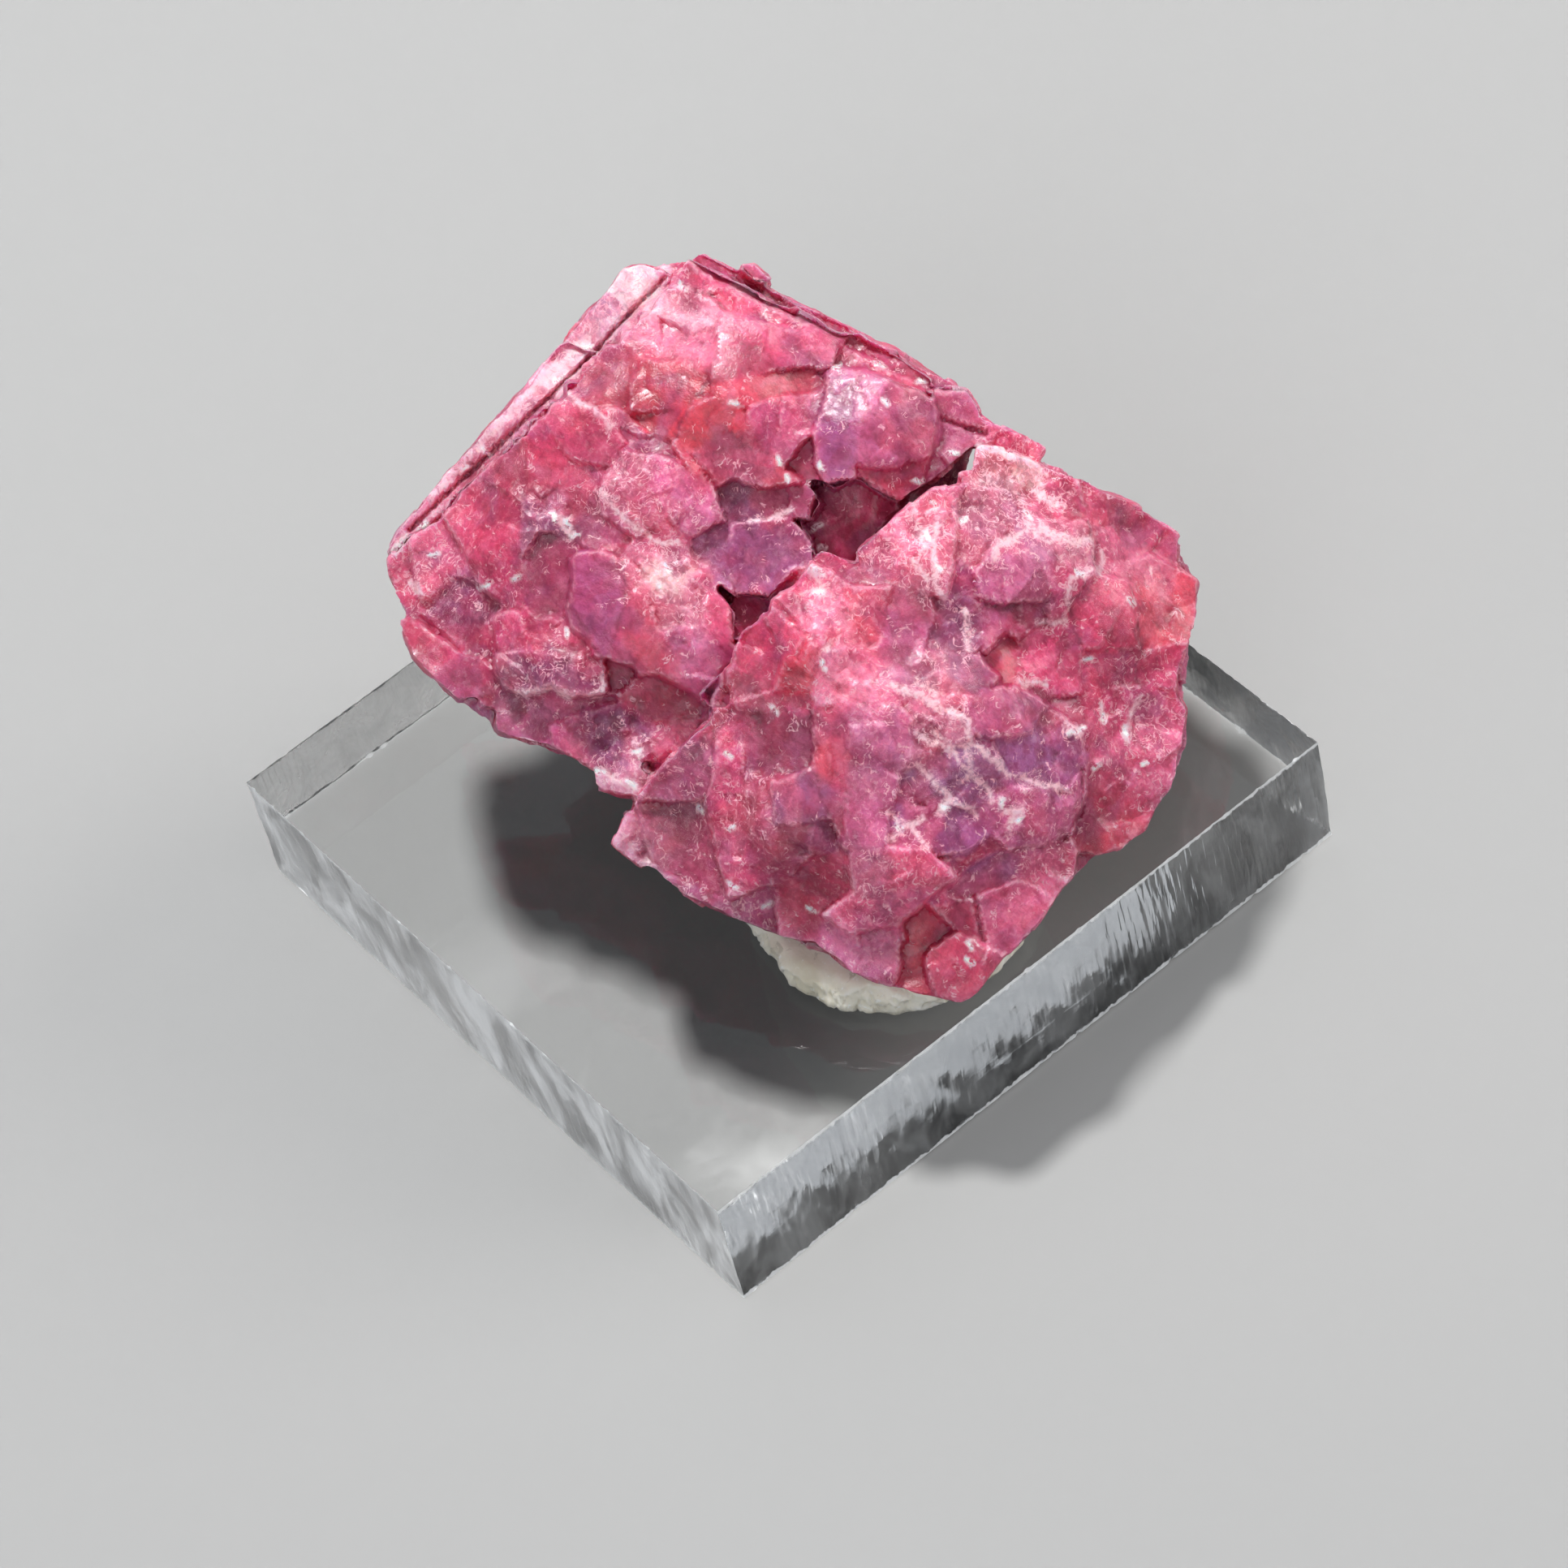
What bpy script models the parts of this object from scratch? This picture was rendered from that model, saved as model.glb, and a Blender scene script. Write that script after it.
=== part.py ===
"""Pink spinel crystal stuck with mineral tack on a clear square acrylic base.

Metres, +Z up.  The origin is the middle of the base's underside.  The base's
sides run along X and Y, and the crystal's mosaic front looks toward -X, -Y
and up.

The crystal is many small blocks grown together.  Each block of the front is
an outline with a plane: the outline is given as it appears from the front (u
across and v down, in the pixels of the reference picture), and d is how far
the face stands toward the viewer, in millimetres, from the middle of the
base's top.
"""
import bpy
import bmesh
from math import radians
from mathutils import Matrix, Vector

MM = 0.001

# ---------------------------------------------------------------- dimensions
BASE_SIDE = 31.75 * MM          # 1 1/4 inch square
BASE_THICK = 5.95 * MM          # cut from 1/4 inch sheet
BASE_EDGE = 0.15 * MM           # the saw cut's broken edge
GAP = 0.1 * MM                  # clearance between touching pieces
TACK_HEIGHT = 1.45 * MM         # thickness of the tack under the crystal
TACK_SPREAD = 1.10 * MM         # how far its foot bulges past its top

# the front view: where a point of the picture is in the object's frame
VIEW_RIGHT = Vector((0.75944537, -0.62756751, -0.17146938))
VIEW_DOWN = Vector((-0.57440627, -0.52307678, -0.62964126))
VIEW_INTO = Vector((0.30545075, 0.57667123, -0.75772695))
VIEW_DIST = 236.64              # mm, eye to the middle of the base's top
VIEW_SHIFT = (-0.4895, -0.8703)  # mm, that middle off the view's axis
VIEW_CENTRE = 966.0             # px
VIEW_FOCAL = 7120.93            # px


def at(u, v, d):
    """Point (m) seen at picture position u, v and d mm toward the viewer."""
    t = VIEW_DIST - d
    x = (u - VIEW_CENTRE) / VIEW_FOCAL * t - VIEW_SHIFT[0]
    y = (v - VIEW_CENTRE) / VIEW_FOCAL * t - VIEW_SHIFT[1]
    p = VIEW_RIGHT * x + VIEW_DOWN * y + VIEW_INTO * (-d)
    return Vector((p.x * MM, p.y * MM, p.z * MM + BASE_THICK))


# ------------------------------------------------------------ clean start
for old in list(bpy.data.objects):
    bpy.data.objects.remove(old, do_unlink=True)

parts = bpy.data.collections.new("spinel_on_base")
bpy.context.scene.collection.children.link(parts)
cutters = bpy.data.collections.new("spinel_blocks")
bpy.context.scene.collection.children.link(cutters)
anchor = bpy.data.objects.new("specimen", None)
anchor.empty_display_size = 0.01
parts.objects.link(anchor)


def material(name, colour, roughness, metallic=0.0, transmission=0.0, ior=1.5):
    mat = bpy.data.materials.new(name)
    mat.use_nodes = True
    shader = mat.node_tree.nodes["Principled BSDF"]
    shader.inputs["Base Color"].default_value = (*colour, 1.0)
    shader.inputs["Roughness"].default_value = roughness
    shader.inputs["Metallic"].default_value = metallic
    shader.inputs["Transmission Weight"].default_value = transmission
    shader.inputs["IOR"].default_value = ior
    return mat


def add_object(name, bm, mat, parent=anchor):
    mesh = bpy.data.meshes.new(name)
    bm.to_mesh(mesh)
    bm.free()
    ob = bpy.data.objects.new(name, mesh)
    mesh.materials.append(mat)
    parts.objects.link(ob)
    ob.parent = parent
    return ob


def hull_mesh(points, floor=None):
    """Closed convex block around the points, cut flat at height floor."""
    bm = bmesh.new()
    for p in points:
        bm.verts.new(p)
    for again in (False, True):
        res = bmesh.ops.convex_hull(bm, input=list(bm.verts))
        loose = [e for e in set(res["geom_interior"] + res["geom_unused"])
                 if isinstance(e, bmesh.types.BMVert) and e.is_valid]
        bmesh.ops.delete(bm, geom=loose, context="VERTS")
        if again or floor is None or min(v.co.z for v in bm.verts) >= floor:
            break
        bmesh.ops.bisect_plane(bm, geom=list(bm.verts) + list(bm.edges) + list(bm.faces),
                               plane_co=(0, 0, floor), plane_no=(0, 0, -1),
                               clear_outer=True)
        bmesh.ops.delete(bm, geom=list(bm.faces), context="FACES_ONLY")
    bmesh.ops.remove_doubles(bm, verts=list(bm.verts), dist=0.02 * MM)
    bmesh.ops.recalc_face_normals(bm, faces=list(bm.faces))
    bmesh.ops.dissolve_limit(bm, angle_limit=radians(1.0), verts=list(bm.verts),
                             edges=list(bm.edges))
    return bm


# ---------------------------------------------------------------- materials
spinel_mat = material("spinel", (0.62, 0.12, 0.24), 0.3, 0.0, 0.3, 1.718)
tack_mat = material("tack", (0.72, 0.72, 0.62), 0.75)
acrylic_mat = material("acrylic", (0.95, 0.97, 0.97), 0.05, 0.0, 1.0, 1.49)

# ---------------------------------------------------------------- the base
bm = bmesh.new()
bmesh.ops.create_cube(bm, size=1.0)
bmesh.ops.scale(bm, vec=(BASE_SIDE, BASE_SIDE, BASE_THICK), verts=bm.verts)
base = add_object("acrylic_base", bm, acrylic_mat)
base.location = (0.0, 0.0, BASE_THICK / 2)
edge = base.modifiers.new("sawn_edge", "BEVEL")
edge.width = BASE_EDGE
edge.segments = 1
edge.limit_method = "ANGLE"

# ---------------------------------------------------------------- the tack
# A flattened lump: rings of the same wobbly outline, wide at the foot and
# drawn in at the top, where the crystal presses on it.
TACK_OUTLINE = [(-6.1, -7.6), (-6.6, -9.8), (-5.9, -12.0), (-4.8, -13.6),
                (-3.2, -14.6), (-1.0, -14.9), (1.2, -14.5), (2.9, -13.2),
                (4.4, -10.6), (5.6, -7.2), (6.0, -3.6), (5.2, -0.6),
                (2.6, 1.2), (-0.8, 0.8), (-3.6, -1.6), (-5.2, -4.6)]
bm = bmesh.new()
n = len(TACK_OUTLINE)
mid = Vector((sum(p[0] for p in TACK_OUTLINE) / n, sum(p[1] for p in TACK_OUTLINE) / n))
FOOT = BASE_THICK + GAP
rings = []
for height, grow in ((0.0, 0.25), (0.32, 0.80), (0.75, 0.55), (1.0, -0.35)):
    ring = []
    for x, y in TACK_OUTLINE:
        out = Vector((x, y)) - mid
        p = Vector((x, y)) + out.normalized() * (grow * TACK_SPREAD / MM * 0.5)
        ring.append(bm.verts.new((p.x * MM, p.y * MM,
                                  FOOT + height * (TACK_HEIGHT - 2 * GAP))))
    rings.append(ring)
for low, high in zip(rings, rings[1:]):
    bmesh.ops.bridge_loops(bm, edges=[bm.edges.get((r[i], r[i - 1])) or bm.edges.new((r[i], r[i - 1]))
                                      for r in (low, high) for i in range(n)])
for ring, turn in ((rings[0], -1), (rings[-1], 1)):
    bmesh.ops.contextual_create(bm, geom=[bm.edges.get((ring[i], ring[i - 1])) for i in range(n)])
bmesh.ops.recalc_face_normals(bm, faces=list(bm.faces))
tack = add_object("mineral_tack", bm, tack_mat)

# ---------------------------------------------------------------- the crystal
UNDERSIDE = BASE_THICK + TACK_HEIGHT + GAP      # flat where it sits in the tack

# The two main crystals.  Each is the outline that shows (its widest part), a
# front ring a little inside it, and the faces that close it behind.
MAIN = {
    "upper": dict(
        widest=[(860, 310, 3.0), (1040, 403, 3.2), (1212, 512, 3.2), (1180, 640, 4.5),
                (782, 336, 1.0), (640, 487, 1.0), (480, 688, 1.2), (497, 762, 1.6),
                (562, 862, 2.8), (616, 904, 3.6), (735, 950, 4.6)],
        front=[(862, 352, 6.0), (1035, 440, 6.4), (1160, 500, 6.4), (1130, 600, 7.2),
               (820, 372, 5.6), (660, 560, 5.0), (540, 690, 3.6), (640, 860, 5.6),
               (760, 900, 6.8), (900, 840, 8.0), (1000, 700, 8.0)],
        back=[(900, 430, -3.6), (1120, 570, -3.8), (760, 560, -5.6), (640, 700, -3.0),
              (700, 820, -2.2), (900, 700, -8.6), (1000, 860, -4.0)]),
    "lower": dict(
        widest=[(1284, 560, 3.6), (1454, 660, 3.4), (1477, 706, 4.2), (1466, 790, 5.0),
                (1460, 880, 5.6), (1448, 960, 6.2), (1418, 1004, 6.6), (1340, 1054, 7.6),
                (1268, 1150, 9.4), (1186, 1236, 11.8), (1105, 1214, 10.6),
                (962, 1160, 9.0), (792, 1068, 7.6), (760, 1040, 7.0), (772, 1000, 6.2),
                (800, 900, 5.0)],
        front=[(1200, 600, 9.0), (1400, 680, 6.4), (1420, 840, 7.6), (1400, 960, 7.8),
               (1300, 1040, 10.0), (1230, 1130, 11.4), (1100, 1150, 11.8),
               (960, 1120, 10.0), (830, 1040, 8.8), (880, 910, 10.2), (960, 780, 10.8),
               (1050, 700, 10.6)],
        back=[(1180, 640, -5.0), (1320, 760, -4.2), (1330, 860, -1.0), (1240, 980, 2.0),
              (1100, 1080, 3.4), (960, 1040, 2.0), (900, 940, -1.0), (980, 800, -5.5),
              (1120, 760, -6.5)]),
}

# The blocks of the mosaic front: outline (u, v), then d at the outline's
# middle and its slope per 100 px to the right and down, then how deep the
# block reaches.
BLOCKS = {
    # upper crystal
    "top": ([(860, 316), (905, 336), (1033, 412), (1024, 440), (1004, 470), (880, 455),
             (818, 400), (828, 350)], 7.0, 0.2, 1.7, 5.0),
    "back_lobe": ([(780, 332), (818, 340), (800, 368), (742, 428), (706, 432), (724, 396)],
                  3.2, 0.8, 1.2, 4.5),
    "violet_face": ([(1030, 444), (1066, 454), (1140, 480), (1156, 520), (1150, 592),
                     (1100, 622), (1040, 622), (1000, 596), (1002, 540)], 9.0, -0.7, 0.9, 5.0),
    "pink_corner": ([(1150, 477), (1180, 478), (1206, 500), (1212, 532), (1158, 516)],
                    7.0, -2.6, 1.2, 4.0),
    "red_face": ([(818, 402), (880, 455), (1004, 470), (1000, 545), (966, 582), (936, 600),
                  (880, 602), (832, 572), (788, 528), (770, 450)], 8.5, 0.5, 0.9, 5.0),
    "recess_face": ([(884, 604), (960, 600), (1006, 604), (1012, 648), (1000, 688),
                     (944, 738), (880, 716), (856, 690), (846, 640)], 8.1, 0.0, 0.8, 5.0),
    "left_face": ([(770, 430), (788, 528), (826, 566), (760, 590), (742, 640), (700, 640),
                   (642, 598), (640, 545), (700, 472)], 7.3, 1.0, 0.8, 5.0),
    "speckled_face": ([(830, 572), (880, 604), (850, 688), (800, 702), (748, 684), (706, 642),
                       (742, 602), (786, 562)], 8.6, 0.4, 0.5, 5.0),
    "far_left_face": ([(640, 545), (640, 612), (632, 690), (592, 716), (530, 738),
                       (508, 700), (524, 650), (578, 592)], 5.0, 1.7, 0.4, 4.0),
    "left_rim": ([(504, 642), (520, 660), (506, 700), (526, 740), (560, 800), (505, 764),
                  (484, 720), (482, 690)], 2.6, 1.2, 0.2, 3.0),
    "grey_face": ([(642, 604), (700, 640), (736, 692), (704, 760), (652, 752), (634, 690)],
                  7.0, 1.0, 0.6, 4.5),
    "violet_plate": ([(706, 694), (746, 680), (792, 702), (804, 762), (818, 792), (830, 850),
                      (784, 822), (742, 812), (708, 772)], 8.9, 0.4, 0.6, 5.0),
    "cleft_face": ([(852, 716), (872, 706), (902, 760), (906, 800), (896, 840), (872, 864),
                    (830, 850), (812, 792), (806, 742)], 9.3, -0.6, 0.5, 5.0),
    "ledge": ([(612, 804), (626, 762), (664, 756), (738, 800), (750, 832), (746, 856),
               (702, 862), (642, 856), (612, 832)], 7.3, 0.6, 0.8, 5.0),
    "left_lobe": ([(496, 764), (524, 776), (602, 814), (596, 842), (566, 862), (545, 850),
                   (512, 816)], 4.4, 1.6, 0.2, 3.6),
    "lower_strip": ([(616, 862), (700, 866), (800, 884), (862, 866), (866, 892), (800, 958),
                     (738, 946), (650, 918), (612, 900)], 6.2, 0.9, 0.7, 4.0),
    # lower crystal
    "streaked_face": ([(1052, 684), (1148, 602), (1192, 598), (1204, 700), (1164, 734),
                       (1080, 702)], 11.9, -0.3, 0.3, 5.0),
    "frosted_face": ([(1010, 682), (1080, 702), (1164, 734), (1204, 762), (1150, 804),
                      (1130, 850), (1000, 870), (906, 860), (904, 800), (942, 746)],
                     12.6, 0.2, 1.0, 5.0),
    "left_corner": ([(866, 892), (906, 870), (922, 900), (918, 1000), (950, 1090), (958, 1152),
                     (802, 1068), (784, 992)], 10.8, 1.2, 0.3, 4.5),
    "red_spots": ([(906, 870), (1000, 862), (1132, 850), (1108, 1000), (1050, 1060),
                   (960, 1090), (950, 1080), (920, 1000)], 13.2, 0.3, -0.4, 5.0),
    "front_foot": ([(960, 1090), (1050, 1060), (1190, 1050), (1160, 1100), (1110, 1140),
                    (1106, 1206), (1000, 1172), (958, 1152)], 12.4, 0.5, -1.0, 3.6),
    "violet_centre": ([(1130, 850), (1206, 800), (1252, 850), (1332, 900), (1332, 1000),
                       (1250, 1050), (1170, 1096), (1112, 1052), (1106, 1000)],
                      13.1, -0.6, -0.4, 5.0),
    "cream_edge": ([(1206, 552), (1284, 578), (1360, 640), (1350, 690), (1240, 660),
                    (1196, 640), (1192, 598)], 9.6, -1.6, 0.9, 5.0),
    "upper_right": ([(1284, 578), (1452, 660), (1450, 704), (1350, 700), (1300, 640)],
                    6.7, -1.5, 0.9, 4.0),
    "middle_right": ([(1200, 700), (1240, 662), (1352, 690), (1362, 790), (1270, 850),
                      (1210, 760)], 10.9, -1.3, 0.5, 5.0),
    "right_face": ([(1350, 700), (1450, 704), (1474, 712), (1466, 786), (1446, 848),
                    (1352, 858), (1340, 790)], 8.0, -1.2, 0.5, 5.4),
    "middle_step": ([(1252, 850), (1270, 790), (1350, 790), (1440, 846), (1352, 900),
                     (1332, 904)], 9.8, -1.4, 0.2, 5.4),
    "right_lobe": ([(1354, 862), (1444, 850), (1461, 872), (1450, 956), (1424, 996),
                    (1360, 944)], 8.2, -1.3, -0.4, 4.0),
    "lower_lobe": ([(1352, 948), (1420, 1000), (1408, 1026), (1350, 1054), (1326, 1040),
                    (1330, 1000)], 8.6, -1.4, -0.8, 4.0),
    "lower_right": ([(1172, 1098), (1250, 1052), (1322, 1034), (1326, 1066), (1270, 1150),
                     (1244, 1176), (1176, 1140)], 11.8, -0.7, -0.9, 3.6),
    "end_lobe": ([(1138, 1176), (1168, 1152), (1238, 1174), (1206, 1222), (1184, 1236),
                  (1150, 1228)], 12.0, -0.3, -0.8, 2.2),
    "upper_step": ([(1206, 512), (1284, 552), (1276, 572), (1200, 560)], 6.0, -1.2, 0.6, 4.0),
}
DRAW_IN = 0.80                 # a block narrows to this toward its root


def block_points(outline, d, right, down, deep):
    cu = sum(p[0] for p in outline) / len(outline)
    cv = sum(p[1] for p in outline) / len(outline)
    points = []
    for u, v in outline:
        face = d + right * (u - cu) / 100.0 + down * (v - cv) / 100.0
        points.append(at(u, v, face))
        points.append(at(cu + (u - cu) * DRAW_IN, cv + (v - cv) * DRAW_IN, face - deep))
    return points


crystal = None
for name, rings in MAIN.items():
    points = [at(*p) for ring in rings.values() for p in ring]
    bm = hull_mesh(points, UNDERSIDE)
    if crystal is None:
        crystal = add_object("spinel_crystal", bm, spinel_mat)
        continue
    ob = add_object("main_" + name, bm, spinel_mat, None)
    parts.objects.unlink(ob)
    cutters.objects.link(ob)
for name, (outline, d, right, down, deep) in BLOCKS.items():
    bm = hull_mesh(block_points(outline, d, right, down, deep), UNDERSIDE)
    ob = add_object("block_" + name, bm, spinel_mat, None)
    parts.objects.unlink(ob)
    cutters.objects.link(ob)
for ob in cutters.objects:
    ob.hide_render = True
    ob.display_type = "WIRE"

grown = crystal.modifiers.new("grown_together", "BOOLEAN")
grown.operation = "UNION"
grown.operand_type = "COLLECTION"
grown.collection = cutters
grown.solver = "EXACT"
grown.use_self = True

bpy.context.view_layer.update()
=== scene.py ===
"""Looks of the pink spinel crystal on its sawn acrylic base.

The crystal's mosaic front is built from small tilted blocks, grown together
into one mesh, and coloured by a procedural material.  Outlines are written as
they appear from the front: u across and v down in picture pixels, d in
millimetres toward the viewer.
"""
import math
import random

import bmesh
import bpy
import numpy as np
from mathutils import Matrix, Vector, kdtree, noise


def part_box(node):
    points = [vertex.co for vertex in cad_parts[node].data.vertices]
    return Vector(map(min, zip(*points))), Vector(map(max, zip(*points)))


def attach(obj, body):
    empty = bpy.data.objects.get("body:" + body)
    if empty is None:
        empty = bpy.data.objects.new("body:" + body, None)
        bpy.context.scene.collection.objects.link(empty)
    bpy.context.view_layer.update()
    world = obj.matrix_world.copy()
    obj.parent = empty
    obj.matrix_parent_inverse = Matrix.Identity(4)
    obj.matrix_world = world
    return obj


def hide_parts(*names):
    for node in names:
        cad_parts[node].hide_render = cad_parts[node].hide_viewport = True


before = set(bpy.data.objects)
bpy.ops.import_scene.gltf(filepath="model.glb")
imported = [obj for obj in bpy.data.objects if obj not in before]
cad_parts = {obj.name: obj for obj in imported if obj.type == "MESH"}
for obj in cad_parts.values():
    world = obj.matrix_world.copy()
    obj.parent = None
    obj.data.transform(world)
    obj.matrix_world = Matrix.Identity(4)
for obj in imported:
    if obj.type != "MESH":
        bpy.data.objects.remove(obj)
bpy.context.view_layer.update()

MM = 0.001
base_lo, base_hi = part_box("acrylic_base")
tack_lo, tack_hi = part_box("mineral_tack")
TOP = base_hi.z                      # the base's top
UNDERSIDE = tack_hi.z + 0.16 * MM    # the crystal's flat underside

# ------------------------------------------------------------------ the view
RIGHT = Vector((0.75944537, -0.62756751, -0.17146938))
DOWN = Vector((-0.57440627, -0.52307678, -0.62964126))
INTO = Vector((0.30545075, 0.57667123, -0.75772695))
DIST, SHIFT_X, SHIFT_Y = 236.6423, -0.4895, -0.8703
FOCAL, CENTRE = 7120.93, 966.0
EYE = (-RIGHT * SHIFT_X - DOWN * SHIFT_Y - INTO * DIST) * MM + Vector((0, 0, TOP))


def at(u, v, d):
    """The point seen at picture position u, v, d mm toward the viewer."""
    t = DIST - d
    x = (u - CENTRE) / FOCAL * t - SHIFT_X
    y = (v - CENTRE) / FOCAL * t - SHIFT_Y
    return (RIGHT * x + DOWN * y - INTO * d) * MM + Vector((0, 0, TOP))


def seen(p):
    """Picture position and d of a point."""
    q = (p - Vector((0, 0, TOP))) / MM
    x, y, z = q.dot(RIGHT) + SHIFT_X, q.dot(DOWN) + SHIFT_Y, q.dot(INTO) + DIST
    return CENTRE + FOCAL * x / z, CENTRE + FOCAL * y / z, DIST - z


cam_data = bpy.data.cameras.new("camera")
cam_data.sensor_fit = "HORIZONTAL"
cam_data.sensor_width = 36.0
cam_data.lens = 36.0 * FOCAL / 1932.0
cam_data.clip_start = 0.01
cam_data.clip_end = 10.0
camera = bpy.data.objects.new("camera", cam_data)
bpy.context.scene.collection.objects.link(camera)
camera.matrix_world = Matrix((
    (RIGHT.x, -DOWN.x, -INTO.x, EYE.x),
    (RIGHT.y, -DOWN.y, -INTO.y, EYE.y),
    (RIGHT.z, -DOWN.z, -INTO.z, EYE.z),
    (0, 0, 0, 1)))
bpy.context.scene.camera = camera

# ------------------------------------------------------------ tints (albedo)
TINT = {
    "rose": (0.80, 0.056, 0.175),
    "hot": (0.92, 0.064, 0.180),
    "raspberry": (0.64, 0.026, 0.100),
    "wine": (0.44, 0.026, 0.100),
    "dark": (0.46, 0.020, 0.085),
    "coral": (0.97, 0.090, 0.140),
    "red": (0.92, 0.046, 0.085),
    "mauve": (0.70, 0.125, 0.290),
    "violet": (0.40, 0.092, 0.270),
    "greyviolet": (0.32, 0.085, 0.215),
    "greypink": (0.66, 0.140, 0.240),
    "pink": (0.95, 0.165, 0.310),
    "frost_and_sheen": (0.98, 0.430, 0.550),
    "cream": (0.95, 0.480, 0.500),
    "white_and_highlight": (0.98, 0.640, 0.740),
    "dusk": (0.25, 0.055, 0.135),
    "crimson": (0.74, 0.012, 0.062),
    "plum": (0.37, 0.064, 0.175),
}

# the smooth shape that the mosaic front follows: (u, v, d)
FRONT_A = [(860, 320, 6.2), (1030, 410, 6.6), (1200, 500, 6.8), (800, 350, 5.2),
           (700, 430, 4.8), (560, 600, 3.4), (490, 690, 2.0), (510, 770, 2.6),
           (570, 850, 4.0), (620, 890, 4.8), (740, 940, 6.2), (800, 950, 7.2),
           (900, 500, 8.3), (1080, 540, 8.8), (760, 520, 7.2), (650, 650, 6.6),
           (780, 760, 8.6), (880, 790, 9.2), (930, 680, 8.2), (700, 830, 7.4),
           (830, 620, 8.6)]
FRONT_B = [(1060, 690, 11.4), (1150, 610, 11.2), (1250, 560, 8.6), (1280, 570, 7.4),
           (1450, 662, 5.6), (1474, 710, 6.0), (1440, 850, 7.6), (1460, 880, 7.2),
           (1420, 990, 7.6), (1340, 1040, 9.2), (1250, 1150, 11.0), (1185, 1230, 11.6),
           (1100, 1200, 11.4), (960, 1150, 9.8), (800, 1060, 8.6), (790, 990, 8.8),
           (870, 895, 10.6), (910, 820, 11.4), (1000, 700, 11.4), (1000, 800, 12.8),
           (1150, 700, 12.2), (1250, 700, 11.0), (1350, 780, 9.4), (1100, 900, 13.6),
           (1200, 900, 13.2), (1000, 1000, 13.0), (1100, 1050, 13.2), (1250, 1000, 12.2)]


def front(points, u, v):
    total = weight = 0.0
    for pu, pv, pd in points:
        w = 1.0 / ((pu - u) ** 2 + (pv - v) ** 2 + 900.0) ** 1.5
        total += w * pd
        weight += w
    return total / weight
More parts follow.
